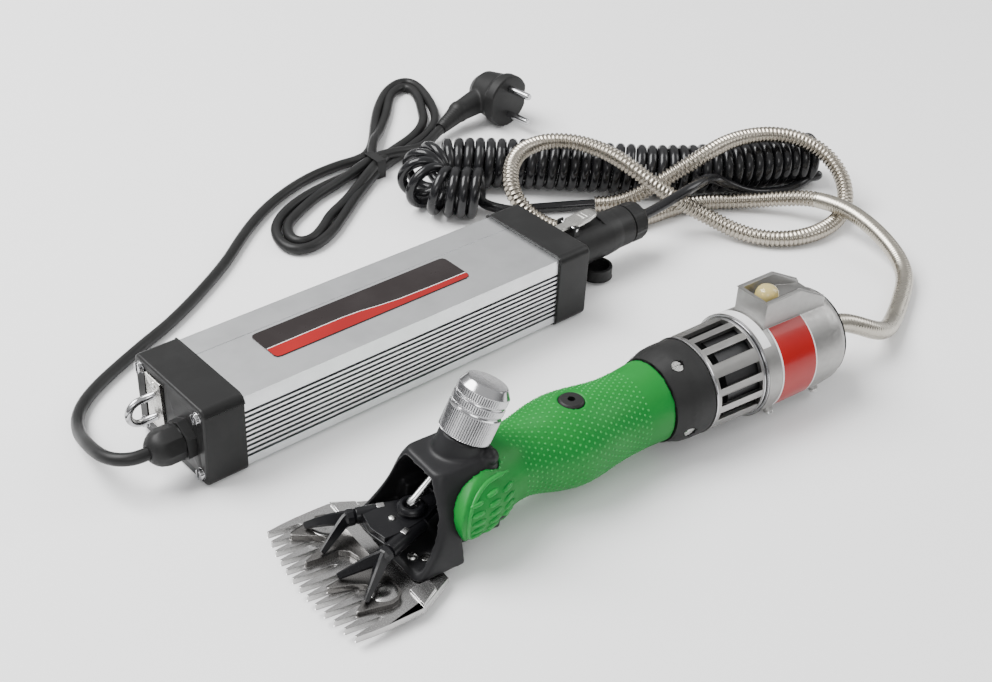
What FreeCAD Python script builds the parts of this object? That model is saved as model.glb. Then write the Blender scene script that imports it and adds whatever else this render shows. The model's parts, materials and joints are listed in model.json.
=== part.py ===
"""Electric sheep shears: handpiece, controller box and the cords between them.

Lengths are millimetres. +Z is up and the part stands on z = 0. Three working frames are used:
  BENCH  the controller's near bottom corner, X along the controller, Y across it
  TOOL   the middle of the comb's tips, X back along the handpiece, Y across it
  KNOB   the foot of the tension knob, Z along the knob's own axis
"""
import FreeCAD
import Part
import Sketcher
import math
import os
import re

from FreeCAD import Placement, Rotation, Vector

X_AXIS, Y_AXIS, Z_AXIS = Vector(1, 0, 0), Vector(0, 1, 0), Vector(0, 0, 1)

SIZES = {
    # where the bench corner lies from the part's origin
    "origin_shift_x": -151.75, "origin_shift_y": 39.103,
    # controller box
    "box_length": 250.0, "box_width": 63.5, "box_height": 45.0,
    "cap_depth": 22.7, "cap_wall": 2.5, "cap_round": 4.0,
    "case_inset": 1.5, "case_wall": 2.2, "fin_pitch": 2.9, "fin_depth": 2.0, "fin_slot": 1.6,
    "board_thick": 1.6,
    "label_length": 125.0, "label_width": 24.0, "label_thick": 0.4,
    "eye_wire": 1.9, "eye_gap": 13.0, "eye_reach": 15.0,
    "gland_y": 17.0, "gland_z": 21.5, "gland_thread": 7.5, "gland_flats": 19.0,
    "socket_z": 23.5, "socket_bore": 11.0, "shell_radius": 13.3, "plug_end": 309.5,
    "plug_nut_radius": 12.2, "lead_radius": 3.25, "dust_pin_x": 258.5, "dust_pin_y": 25.0,
    # handpiece
    "tool_x": -2.7, "tool_y": -87.5, "tool_yaw": -5.2, "axis_height": 28.0, "crank_height": 20.0,
    "comb_bottom": 3.5, "comb_thick": 3.0, "comb_half": 38.5, "comb_sweep": 5.1,
    "comb_teeth": 13, "comb_heel_thick": 1.9, "comb_root": 15.6, "cutter_thick": 3.0, "slide_gap": 0.1,
    "pivot_x": 53.0, "fork_height": 20.5, "fork_thick": 3.0, "foot_radius": 2.4,
    "barrel_radius": 15.5, "barrel_end": 186.0, "shaft_radius": 3.5, "fit_gap": 0.05,
    "crank_throw": 2.6, "roller_radius": 3.0, "prong_gap": 8.7,
    "gear_module": 0.4, "pinion_teeth": 17, "gear_teeth": 23, "gear_face": 7.0,
    "knob_x": 80.7, "knob_z": 55.4, "knob_tilt": 26.7, "knob_radius": 12.75, "knob_height": 27.5,
    "thread_radius": 8.0, "sleeve_radius": 4.6,
    "collar_front": 186.0, "collar_rear": 216.0, "collar_radius": 25.2,
    "cage_rear": 250.0, "cage_radius": 26.0, "cage_wall": 2.4,
    "housing_radius": 27.4, "housing_rear": 308.0, "housing_wall": 2.0, "cap_rear": 318.0,
    "rotor_radius": 13.5, "rotor_shaft": 2.5, "button_radius": 6.2, "button_travel": 1.5,
    # cords and plug
    "mains_radius": 3.3, "coil_radius": 16.5, "conduit_radius": 5.2, "hank_height": 13.4,
    "plug_radius": 18.5, "pin_radius": 2.4, "pin_length": 19.0, "pin_spacing": 19.0,
}

# Routes in the bench frame. Every turn becomes an arc tangent to both of its runs.
MAINS_ROUTE = [
    (-21, 17, 21.5), (-26, 17, 21.5), (-31.4, 19.4, 21.3), (-35.6, 24.2, 20.7), (-37.6, 31.4, 19.3),
    (-37.2, 40.5, 16.8), (-35.6, 51.5, 13.2), (-33, 63.5, 9), (-29, 75, 5.8), (-23, 86, 4),
    (-13.5, 95.5, 3.4), (-1, 103.5, 3.4), (15, 111.5, 3.4), (34, 120.5, 3.4), (54, 129, 3.4),
    (75, 140.5, 3.4), (96, 153.5, 3.4), (116, 167, 3.4), (133, 181, 3.4), (149.5, 193.5, 3.4),
    (169, 206, 3.4), (193, 217, 3.4), (216, 223.5, 3.4), (237, 224.5, 4.0), (252, 221.4, 4.8),
    (263.5, 215, 5.8), (273, 207, 6.4),
]
LEAD_ROUTE = [
    (324.5, 31.75, 23.5), (333.5, 31.5, 24.3), (343.5, 30.7, 26.2), (354.5, 30.0, 28.6),
    (366, 29.7, 30.4), (379, 32.6, 29.8), (392, 37, 26.6), (403.5, 39.6, 21.4), (413.5, 37.2, 15),
    (424, 33.6, 9), (435, 29.6, 5), (446.5, 25.4, 3.6), (457.5, 21, 3.9), (467.5, 19.4, 5.2),
    (476, 22, 8),
]
COIL_ROUTE = [
    (488, 26.5, 16.6), (472, 34.5, 16.6), (454, 41.5, 16.6), (434, 49.5, 16.6), (414, 59.5, 16.6),
    (395, 71.5, 16.6), (377.5, 86, 16.6), (361, 101.5, 16.6), (344, 116.5, 16.6), (327, 132, 16.6),
    (311, 145.6, 16.6), (296.5, 156.5, 16.6), (284, 166.4, 16.6), (273.4, 168.8, 16.6),
    (263.2, 165.8, 16.6), (255.9, 157.9, 16.6), (253.6, 147.2, 16.6), (257.2, 137, 16.6),
    (269, 127, 16.6), (282.5, 114.5, 16.6),
]
TAIL_ROUTE = [
    (281, 113, 6.5), (289.5, 111.2, 4.8), (299, 107.4, 3.9), (309.5, 101.6, 3.6), (320, 95.6, 3.7),
    (329.6, 89.2, 4.4), (338, 82.5, 5.3),
]
CONDUIT_ROUTE = [
    (338, 82.5, 5.3), (345, 77, 6), (352.5, 71, 8.5), (360, 65, 13.5), (367, 58.5, 20.5),
    (374.5, 52.5, 28), (384, 47, 35), (398, 44.5, 40), (415, 45, 41.6), (432, 43, 41.8),
    (449, 36.5, 41.2), (464, 25.5, 38.6), (474.5, 11, 31.5), (476.5, -4.5, 21), (468.5, -17, 11.5),
    (455, -24.4, 6.2), (439, -28, 5.4), (421, -28, 5.4), (404, -22.5, 5.4), (391, -11, 5.5),
    (383, 4, 6.8), (377.5, 18, 10.5), (369, 29.5, 16), (359, 39.5, 24), (351, 50.5, 32),
    (346, 64, 38.5), (343.5, 80, 41.4), (340, 95, 41.8), (332.5, 108, 41.9), (320, 115.5, 41.8),
    (305.5, 116, 41.6), (292, 111, 41.1), (280, 102.2, 38), (272.8, 91, 31), (274.5, 79, 22.4),
    (282.5, 70.5, 14.8), (294, 65, 9), (308, 60.5, 6), (323, 56.5, 5.4), (339, 52.5, 5.4),
    (355, 50, 5.4), (371, 49, 5.4), (386.5, 46.4, 5.4), (400.5, 39.8, 5.5), (413, 30, 6),
    (424.5, 19, 8), (434, 6.5, 11.6), (440.5, -7.5, 16.0), (443, -22, 18.2), (444.5, -36.5, 18.2),
    (443.5, -51, 16.6), (441.6, -64.5, 13.6), (438, -77.5, 10.2), (431.6, -88.8, 7.4),
    (422, -97.6, 5.8), (409.5, -104.8, 5.4), (396.5, -111.6, 5.4), (383, -118, 5.8),
    (369.5, -123.8, 8), (357, -127.2, 12.4), (346, -127.4, 18), (336, -124.2, 23.4),
    (326.5, -119.4, 27.1), (316.5, -116.55, 28),
]

doc = FreeCAD.newDocument("sheep_shears")
sheet = doc.addObject("Spreadsheet::Sheet", "Sizes")
nodes = []


def fill_sheet():
    for row, (alias, value) in enumerate(SIZES.items(), start=1):
        sheet.set(f"A{row}", alias)
        sheet.set(f"B{row}", str(value))
        sheet.setAlias(f"B{row}", alias)
    doc.recompute()


def bound(text):
    """A size expression with its sheet aliases in full."""
    return re.sub(r"[a-z]\w*", lambda m: f"Sizes.{m.group(0)}" if m.group(0) in SIZES else m.group(0),
                  text)


def size(alias):
    return float(getattr(sheet, alias))


fill_sheet()
BENCH = Placement(Vector(size("origin_shift_x"), size("origin_shift_y"), 0), Rotation())
TOOL = BENCH.multiply(Placement(Vector(size("tool_x"), size("tool_y"), 0),
                                Rotation(Z_AXIS, size("tool_yaw"))))
KNOB_LOCAL = Placement(Vector(size("knob_x"), 0, size("knob_z")), Rotation(Y_AXIS, size("knob_tilt")))
ALONG_X = Rotation(Y_AXIS, 90)
PLUG_LOCAL = Placement(Vector(375, 209, size("plug_radius")), Rotation(Z_AXIS, -84))


# ---------------------------------------------------------------- building blocks

def solid(kind, name, at=(0, 0, 0), turn=Rotation(), **sizes):
    """A primitive, whose sizes are numbers or expressions on the sheet."""
    item = doc.addObject(f"Part::{kind}", name)
    for key, value in sizes.items():
        if isinstance(value, str):
            item.setExpression(key, bound(value))
        else:
            setattr(item, key, value)
    item.Placement = Placement(Vector(*at), turn)
    return item


def box(name, low, high):
    """An upright box between two corners."""
    spans = [b - a for a, b in zip(low, high)]
    return solid("Box", name, at=low, Length=spans[0], Width=spans[1], Height=spans[2])


def rod(name, start, end, radius):
    """A round bar between two points."""
    reach = Vector(*end) - Vector(*start)
    return solid("Cylinder", name, at=start, turn=Rotation(Z_AXIS, reach), Radius=radius,
                 Height=reach.Length)


def taper(name, start, end, first, last):
    reach = Vector(*end) - Vector(*start)
    return solid("Cone", name, at=start, turn=Rotation(Z_AXIS, reach), Radius1=first, Radius2=last,
                 Height=reach.Length)


def ball(name, at, radius):
    return solid("Sphere", name, at=at, Radius=radius)


def fuse(name, *items):
    joined = doc.addObject("Part::MultiFuse", name)
    joined.Shapes = list(items)
    joined.Refine = True
    return joined


def cut(name, base, *tools):
    result = doc.addObject("Part::Cut", name)
    result.Base = base
    result.Tool = tools[0] if len(tools) == 1 else fuse(f"{name}_tools", *tools)
    return result


def group(name, *items):
    """Separate solids that share one node."""
    bundle = doc.addObject("Part::Compound", name)
    bundle.Links = list(items)
    return bundle


def shaped(name, shape):
    item = doc.addObject("Part::Feature", name)
    item.Shape = shape
    return item


def body_sketch(name, plane):
    body = doc.addObject("PartDesign::Body", name)
    sketch = body.newObject("Sketcher::SketchObject", f"{name}_sketch")
    face = [f for f in body.Origin.OriginFeatures if f.Role == plane][0]
    sketch.AttachmentSupport = [(face, "")]
    sketch.MapMode = "FlatFace"
    return body, sketch


def pin_vertex(sketch, line, axis, value):
    """Hold one coordinate of a line's start, at a size on the sheet where it names one."""
    number = evaluated(value)
    if abs(number) < 1e-9:
        sketch.addConstraint(on_axis(line, axis))
        return
    kind = "DistanceX" if axis == 0 else "DistanceY"
    spot = sketch.addConstraint(Sketcher.Constraint(kind, -1, 1, line, 1, number))
    if isinstance(value, str):
        label = f"v{line}_{'xy'[axis]}"
        sketch.renameConstraint(spot, label)
        sketch.setExpression(f"Constraints.{label}", bound(value))


def evaluated(value):
    """The number that a size expression has now."""
    if isinstance(value, str):
        return float(sheet.evalExpression(value))
    return float(value)


def on_axis(line, axis):
    return Sketcher.Constraint("PointOnObject", line, 1, -2 if axis == 0 else -1)


def outline_sketch(sketch, corners):
    """A closed outline of straight sides through corners of (x, y) sizes."""
    points = [Vector(evaluated(x), evaluated(y), 0) for x, y in corners]
    count = len(points)
    for index in range(count):
        sketch.addGeometry(Part.LineSegment(points[index], points[(index + 1) % count]), False)
    for index in range(count):
        sketch.addConstraint(Sketcher.Constraint("Coincident", index, 2, (index + 1) % count, 1))
    for index, corner in enumerate(corners):
        for axis in (0, 1):
            pin_vertex(sketch, index, axis, corner[axis])


def revolved(name, corners, place=Placement(), about="H_Axis"):
    """A turned piece: a half section in the XZ plane, swung once round its own axis."""
    body, sketch = body_sketch(name, "XZ_Plane")
    outline_sketch(sketch, corners)
    turned = body.newObject("PartDesign::Revolution", f"{name}_turned")
    turned.Profile = sketch
    turned.ReferenceAxis = (sketch, [about])
    turned.Angle = 360
    body.Placement = place
    return body


def plate(name, corners, thick, place=Placement()):
    """A flat plate: an outline in the XY plane, padded upwards."""
    body, sketch = body_sketch(name, "XY_Plane")
    outline_sketch(sketch, corners)
    pad = body.newObject("PartDesign::Pad", f"{name}_pad")
    pad.Profile = sketch
    pad.setExpression("Length", bound(thick))
    body.Placement = place
    return body


def keep(label, item, frame):
    """Name a finished sub-part and put it in its frame."""
    item.Label = label
    item.Placement = frame.multiply(item.Placement)
    nodes.append((label, item))


def circle_wire(center, normal, radius):
    return Part.Wire(Part.Circle(center, normal, radius).toShape())


def tube_shape(route, radius, name):
    """A round tube along straight runs joined by tangent arcs."""
    points = [Vector(*p) for p in route]
    edges, here, radii = [], points[0], []
    for before, corner, after in zip(points, points[1:], points[2:]):
        back, ahead = (before - corner), (after - corner)
        shorter = min(back.Length, ahead.Length)
        turn = math.pi - back.getAngle(ahead)
        trim = 0.45 * shorter
        radii.append(trim / math.tan(turn / 2))
        start = corner + back.normalize() * trim
        end = corner + ahead.normalize() * trim
        inward = (start + end) * 0.5 - corner
        depth = radii[-1] / math.cos(turn / 2) - radii[-1]
        middle = corner + inward.normalize() * depth
        edges += [Part.LineSegment(here, start).toShape(), Part.Arc(start, middle, end).toShape()]
        here = end
    edges.append(Part.LineSegment(here, points[-1]).toShape())
    path = Part.Wire(edges)
    tube = path.makePipe(circle_wire(points[0], points[1] - points[0], radius))
    if tube.ShapeType != "Solid":
        tube = Part.makeSolid(tube) if tube.ShapeType == "Shell" else tube
    if tube.ShapeType != "Solid" or not tube.isValid():
        profile = Part.Face(circle_wire(points[0], points[1] - points[0], radius))
        tube = path.makePipeShell([profile.OuterWire], True, False)
    expected = math.pi * radius ** 2 * path.Length
    print(f"{name}: length {path.Length:.0f}, tightest radius {min(radii):.1f}, "
          f"volume ratio {tube.Volume / expected:.4f}, radii {[round(r) for r in radii]}")
    return tube


def rounded_section(z, front, rear, half, corner):
    """A level rectangle with rounded corners, as one wire."""
    low = Vector(front, -half, z)
    plan = Part.makePlane(rear - front, 2 * half, low)
    solid_block = plan.extrude(Vector(0, 0, 1))
    uprights = [e for e in solid_block.Edges if abs(e.tangentAt(e.FirstParameter).z) > 0.9]
    rounded = solid_block.makeFillet(corner, uprights)
    faces = [f for f in rounded.Faces if abs(f.normalAt(0, 0).z) > 0.9
             and abs(f.CenterOfMass.z - z) < 1e-6]
    return faces[0].OuterWire


def oval_section(x, z, half_width, half_height):
    """An upright ellipse across the handpiece."""
    major, minor = max(half_width, half_height), min(half_width, half_height)
    ring = Part.Ellipse(Vector(0, 0, 0), major + 1e-4, minor)
    wire = Part.Wire(ring.toShape())
    wide = half_width >= half_height
    wire.Placement = Placement(Vector(x, 0, z), Rotation(Z_AXIS, 90).multiply(Rotation(X_AXIS, 90))
                               if wide
                               else Rotation(Y_AXIS, 90).multiply(Rotation(Z_AXIS, 0)))
    return wire


def curved_prism(points, z_low, z_high):
    """An upright prism whose outline is one smooth closed curve."""
    curve = Part.BSplineCurve()
    curve.interpolate(Points=[Vector(x, y, z_low) for x, y in points], PeriodicFlag=True)
    face = Part.Face(Part.Wire(curve.toShape()))
    upright = face if face.normalAt(0, 0).z > 0 else face.reversed()
    return upright.extrude(Vector(0, 0, z_high - z_low))


# ---------------------------------------------------------------- controller box

def end_cap(name, x_outer, inward):
    """A moulded cap: a cup over the end of the case, with rounded outer edges."""
    depth, width, height = size("cap_depth"), size("box_width"), size("box_height")
    low_x = min(x_outer, x_outer + inward * depth)
    shell = solid("Box", f"{name}_block", at=(low_x, 0, 0), Length="cap_depth", Width="box_width",
                  Height="box_height")
    rounded = doc.addObject("Part::Fillet", f"{name}_rounded")
    rounded.Base = shell
    doc.recompute()
    edges = []
    for number, edge in enumerate(shell.Shape.Edges, start=1):
        direction = edge.tangentAt(edge.FirstParameter)
        on_outer_face = all(abs(v.X - x_outer) < 1e-6 for v in edge.Vertexes)
        lengthwise = abs(direction.x) > 0.9
        if lengthwise or on_outer_face:
            radius = size("cap_round") if lengthwise else 1.6
            edges.append((number, radius, radius))
    rounded.Edges = edges
    inset, wall = size("case_inset"), size("cap_wall")
    inner_x = x_outer + inward * wall
    hollow = box(f"{name}_hollow", (min(inner_x, x_outer + inward * depth), inset, inset),
                 (max(inner_x, x_outer + inward * depth), width - inset, height - inset))
    return rounded, hollow


def corner_spots(inset):
    return [(y, z) for y in (inset, size("box_width") - inset)
            for z in (inset, size("box_height") - inset)]


def screw_holes(name, x_low, x_high):
    return [rod(f"{name}_{i}", (x_low, y, z), (x_high, y, z), 1.7)
            for i, (y, z) in enumerate(corner_spots(5.8))]


def build_gland_cap():
    rounded, hollow = end_cap("gland_cap", 0.0, 1)
    gland_hole = rod("gland_cap_bore", (-1, size("gland_y"), size("gland_z")),
                     (4, size("gland_y"), size("gland_z")),
                     size("gland_thread"))
    recess = box("gland_cap_recess", (-1, 36, 9.5), (0.9, 55, 41))
    keep("gland_end_cap", cut("gland_end_cap", rounded, hollow, gland_hole, recess,
                              *screw_holes("gland_cap_hole", -1, 4)), BENCH)


def build_socket_cap():
    length = size("box_length")
    rounded, hollow = end_cap("socket_cap", length, -1)
    bore = rod("socket_cap_bore", (length - 4, size("box_width") / 2, size("socket_z")),
               (length + 1, size("box_width") / 2, size("socket_z")), size("socket_bore"))
    keep("socket_end_cap", cut("socket_end_cap", rounded, hollow, bore,
                               *screw_holes("socket_cap_hole", length - 4, length + 1)), BENCH)


def build_case():
    """The extruded case: flat bands, cooling fins down both sides, a groove along the top."""
    inset, wall, length = size("case_inset"), size("case_wall"), size("box_length")
    width, height = size("box_width"), size("box_height")
    start, end = size("cap_wall"), length - size("cap_wall")
    outside = box("case_outside", (start, inset, inset), (end, width - inset, height - inset))
    inside = box("case_inside", (start - 1, inset + wall + 1.6, inset + wall),
                 (end + 1, width - inset - wall - 1.6, height - inset - wall))
    depth, slot, pitch = size("fin_depth"), size("fin_slot"), size("fin_pitch")
    near_side = [box(f"fin_near_{i}", (start - 1, inset - 1, 7 + i * pitch),
                     (end + 1, inset + depth, 7 + i * pitch + slot))
                 for i in range(10)]
    far_side = [box(f"fin_far_{i}", (start - 1, width - inset - depth, 7 + i * pitch),
                    (end + 1, width - inset + 1, 7 + i * pitch + slot)) for i in range(10)]
    groove = box("case_top_groove", (start - 1, 44.5, height - inset - 0.5), (end + 1, 45.1, height))
    screw_paths = [rod(f"case_screw_path_{i}_{side}", (x - 1, y, z), (x + 16, y, z), 1.7)
                   for side, x in enumerate((start, end - 15))
                   for i, (y, z) in enumerate(corner_spots(5.8))]
    keep("case_body", cut("case_body", outside, inside, groove, *near_side, *far_side, *screw_paths),
         BENCH)


def build_cap_screws():
    screws = []
    for side, (x, out) in enumerate(((0.0, -1), (size("box_length"), 1))):
        for i, (y, z) in enumerate(corner_spots(5.8)):
            head = rod(f"cap_screw_head_{side}{i}", (x, y, z), (x + out * 2.0, y, z), 2.9)
            shank = rod(f"cap_screw_shank_{side}{i}", (x, y, z), (x - out * 14, y, z), 1.65)
            slot = box(f"cap_screw_slot_{side}{i}", (x + out * 2.0 - 0.8, y - 0.4, z - 4),
                       (x + out * 2.0 + 0.8, y + 0.4, z + 4))
            screws.append(cut(f"cap_screw_{side}{i}", fuse(f"cap_screw_body_{side}{i}", head, shank),
                              slot))
    keep("cap_screws", group("cap_screws", *screws), BENCH)


def build_label():
    half_l, half_w = "label_length / 2", "label_width / 2"
    corners = [(f"-{half_l} + 3", f"-{half_w}"), (f"{half_l} - 3", f"-{half_w}"),
               (half_l, f"-{half_w} + 3"),
               (half_l, f"{half_w} - 3"), (f"{half_l} - 3", half_w), (f"-{half_l} + 3", half_w),
               (f"-{half_l}", f"{half_w} - 3"), (f"-{half_l}", f"-{half_w} + 3")]
    top = size("box_height") - size("case_inset")
    keep("label_plate", plate("label_plate", corners, "label_thick",
                              Placement(Vector(115.5, 30.3, top), Rotation())), BENCH)


def build_electronics():
    keep("circuit_board", plate("circuit_board", [(28, 6.4), (222, 6.4), (222, 57.1), (28, 57.1)],
                                "board_thick",
                                Placement(Vector(0, 0, 8), Rotation())), BENCH)
    core = box("transformer_core", (120, 16, 9.8), (158, 48, 33))
    winding = box("transformer_winding", (126, 11, 13.5), (152, 53, 29.5))
    keep("transformer", fuse("transformer", core, winding), BENCH)


def build_hanging_eye():
    """A wire staple standing out of a screwed plate on the gland end."""
    back = box("eye_plate_blank", (-0.6, 38, 11), (0.9, 53, 39.5))
    holes = [rod(f"eye_plate_hole_{i}", (-2, 45.5, z), (2, 45.5, z), size("eye_wire"))
             for i, z in enumerate((16.5, 29.5))]
    keep("eye_plate", cut("eye_plate", back, *holes), BENCH)
    radius, reach = size("eye_gap") / 2, size("eye_reach")
    bottom, top, y = Vector(0.9, 45.5, 16.5), Vector(0.9, 45.5, 29.5), 45.5
    bend_low, bend_high = Vector(-reach + radius, y, 16.5), Vector(-reach + radius, y, 29.5)
    path = Part.Wire([Part.LineSegment(bottom, bend_low).toShape(),
                      Part.Arc(bend_low, Vector(-reach, y, 23), bend_high).toShape(),
                      Part.LineSegment(bend_high, top).toShape()])
    staple = path.makePipeShell([circle_wire(bottom, X_AXIS, size("eye_wire"))], True, False)
    keep("hanging_eye", shaped("hanging_eye", staple), BENCH)


def build_gland():
    centre = (size("gland_y"), size("gland_z"))
    flats = solid("Prism", "gland_hex", at=(-5, *centre), turn=ALONG_X, Polygon=6,
                  Circumradius="gland_flats / 1.732",
                  Height=5)
    thread = rod("gland_thread", (-9, *centre), (3.9, *centre), size("gland_thread"))
    bore = rod("gland_body_bore", (-10, *centre), (5, *centre), 4.2)
    keep("gland_body", cut("gland_body", fuse("gland_body_solid", flats, thread), bore), BENCH)
    outline = [(-5.2, 7.55), (-5.2, 9.6), (-13, 9.6), (-18, 8.2), (-21, 5.6), (-21, "mains_radius"),
               (-9.2, "mains_radius"), (-9.2, 7.55)]
    keep("gland_nut", revolved("gland_nut", outline, Placement(Vector(0, *centre), Rotation())), BENCH)


def build_socket_and_plug():
    end, y, z = size("box_length"), size("box_width") / 2, size("socket_z")
    place = Placement(Vector(0, y, z), Rotation())
    socket = [(end - 8, 7.0), (end - 8, "socket_bore"), (end, "socket_bore"), (end, 13.2),
              (end + 3.5, 13.2),
              (end + 3.5, 10.6), (end + 14, 10.6), (end + 14, 7.0)]
    keep("panel_socket", revolved("panel_socket", socket, place), BENCH)
    shell = [(end + 3.8, 10.7), (end + 3.8, "shell_radius"), (end + 40, "shell_radius"),
             (end + 46, "shell_radius - 0.5"), (end + 50, "shell_radius - 1.1"),
             ("plug_end", "shell_radius - 1.1"),
             ("plug_end", 6.0), (end + 30, 6.0), (end + 30, 10.7)]
    body = revolved("plug_shell_round", shell, place)
    step = box("plug_latch_seat", (end + 2, y - 5.5, z + 12.6), (end + 36, y + 5.5, z + 20))
    keep("plug_shell", cut("plug_shell", body, step), BENCH)
    nut = [("plug_end", 6.0), ("plug_end", "plug_nut_radius"), ("plug_end + 10", "plug_nut_radius"),
           ("plug_end + 12.5", "plug_nut_radius - 2"), ("plug_end + 15", "plug_nut_radius - 4.4"),
           ("plug_end + 15", "lead_radius"), ("plug_end + 8", "lead_radius"), ("plug_end + 8", 6.0)]
    keep("plug_nut", revolved("plug_nut", nut, place), BENCH)


def build_latch():
    """A die-cast thumb lever on top of the plug, on a cross pin in two small ears."""
    end, y, z = size("box_length"), size("box_width") / 2, size("socket_z")
    profile = [(end + 1, z + 17.2), (end + 1, z + 14.4), (end + 20, z + 14.4), (end + 32, z + 15.8),
               (end + 34, z + 17.4), (end + 32, z + 19.2), (end + 24, z + 18.2), (end + 12, z + 17.2)]
    body, sketch = body_sketch("plug_latch_lever", "XZ_Plane")
    outline_sketch(sketch, profile)
    pad = body.newObject("PartDesign::Pad", "plug_latch_pad")
    pad.Profile = sketch
    pad.Length = 9
    body.Placement = Placement(Vector(0, y + 4.5, 0), Rotation())
    eye = rod("plug_latch_eye", (end + 13, y - 6, z + 15.8), (end + 13, y + 6, z + 15.8), 1.1)
    keep("plug_latch", cut("plug_latch", body, eye), BENCH)


def build_dust_cap():
    """An open cup on a strap, on an upright pin beside the panel socket."""
    x, y = size("dust_pin_x"), size("dust_pin_y")
    cup = rod("dust_cup", (x + 24.5, y, 1.6), (x + 24.5, y, 8.8), 9.5)
    hollow = rod("dust_hollow", (x + 24.5, y, 3.2), (x + 24.5, y, 10), 8.1)
    strap = box("dust_strap", (x + 1, y - 2.2, 2.6), (x + 17, y + 2.2, 4.6))
    knuckle = rod("dust_knuckle", (x, y, 2.6), (x, y, 6.4), 2.2)
    eye = rod("dust_eye", (x, y, 1), (x, y, 8), 1.05)
    outer = fuse("dust_cap_solid", cup, strap, knuckle)
    keep("dust_cap", cut("dust_cap", outer, hollow, eye), BENCH)


def build_hinge_pins():
    """Two steel pins with their lugs: the latch pin on the plug and the dust cap's pin on the end cap."""
    end, y, z = size("box_length"), size("box_width") / 2, size("socket_z")
    latch = rod("latch_pin", (end + 13, y - 7.4, z + 15.8), (end + 13, y + 7.4, z + 15.8), 1.0)
    ears = [box(f"latch_ear_{i}", (end + 10.8, side, z + 11.0), (end + 15.2, side + 1.6, z + 17.6))
            for i, side in enumerate((y - 7.4, y + 5.8))]
    x, y = size("dust_pin_x"), size("dust_pin_y")
    cap_pin = rod("dust_pin", (x, y, 1.4), (x, y, 7.6), 0.95)
    lugs = [box(f"dust_lug_{i}", (end, y - 2.6, low), (x + 2.4, y + 2.6, low + 1))
            for i, low in enumerate((1.4, 6.6))]
    keep("hinge_pins", group("hinge_pins", fuse("latch_pivot", latch, *ears),
                             fuse("dust_pivot", cap_pin, *lugs)),
         BENCH)


# ---------------------------------------------------------------- handpiece: head and cutting gear

def side_pairs(name, low, high):
    """Two boxes, one on each side of the handpiece's middle plane."""
    near = box(f"{name}_near", (low[0], -high[1], low[2]), (high[0], -low[1], high[2]))
    return near, box(f"{name}_far", low, high)


def build_head():
    """The cast head and barrel: a bell open at the front, a neck for the knob, a bored barrel behind."""
    outer_levels = [(6.5, 37, 90, 28), (12, 42.5, 90, 27.2), (24, 51, 91, 24), (38, 54, 91, 19),
                    (50, 57.5, 91, 13.5)]
    inner_levels = [(10, 20, 84.5, 24.6), (24, 20, 86, 21), (38, 20, 86, 16), (47, 20, 84, 10)]
    outer = shaped("head_outer", Part.makeLoft([rounded_section(z, a, b, w, 5) for z, a, b,
                                                w in outer_levels], True))
    inner = shaped("head_inner", Part.makeLoft([rounded_section(z, a, b, w, 4) for z, a, b,
                                                w in inner_levels], True))
    outer = cut("head_shell", outer, *side_pairs("head_waist", (64, 19, 0), (95, 40, 20)),
                box("head_under", (64, -20, 0), (95, 20, 9.5)))
    inner = cut("head_hollow", inner, *side_pairs("head_waist_wall", (61, 16, 0), (95, 40, 22.5)),
                box("head_under_floor", (61, -20, 0), (95, 20, 12)))
    axis_z, crank_z = size("axis_height"), size("crank_height")
    barrel = rod("head_barrel", (86, 0, axis_z), (size("barrel_end"), 0, axis_z), size("barrel_radius"))
    flange = rod("head_flange", (180, 0, axis_z), (188, 0, axis_z), 17.0)
    neck = solid("Cylinder", "head_neck", Radius=11.5, Height=24)
    neck.Placement = KNOB_LOCAL.multiply(Placement(Vector(0, 0, -24.4), Rotation()))
    stub = solid("Cylinder", "head_stub", Radius="thread_radius", Height=16)
    stub.Placement = KNOB_LOCAL.multiply(Placement(Vector(0, 0, -2), Rotation()))
    sleeve_bore = solid("Cylinder", "head_sleeve_bore", Radius="sleeve_radius + fit_gap", Height=50)
    sleeve_bore.Placement = KNOB_LOCAL.multiply(Placement(Vector(0, 0, -30), Rotation()))
    pin_path = taper("head_pin_path", (58, 0, 31), (82, 0, 50), 4.5, 4.5)
    crank_bore = rod("head_crank_bore", (80, 0, crank_z), (190, 0, crank_z), 4.4)
    seats = [rod("head_front_seat", (80, 0, crank_z), (97, 0, crank_z), 6.0),
             rod("head_rear_seat", (181, 0, crank_z), (190, 0, crank_z), 6.0)]
    plate_holes = [rod(f"head_screw_hole_{i}", (49.5, y, 5), (49.5, y, 11), 2.2)
                   for i, y in enumerate((-17, 17))]
    post_hole = rod("head_post_hole", (size("pivot_x"), 0, 5), (size("pivot_x"), 0, 11), 2.6)
    oil_hole = rod("head_oil_hole", (142.5, 0, 35), (142.5, 0, 50), 3.0)
    casting = fuse("head_casting", outer, barrel, flange, neck, stub)
    keep("head_housing", cut("head_housing", casting, inner, sleeve_bore, pin_path, crank_bore, *seats,
                             *plate_holes,
                             post_hole, oil_hole), TOOL)
    return outer


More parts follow.
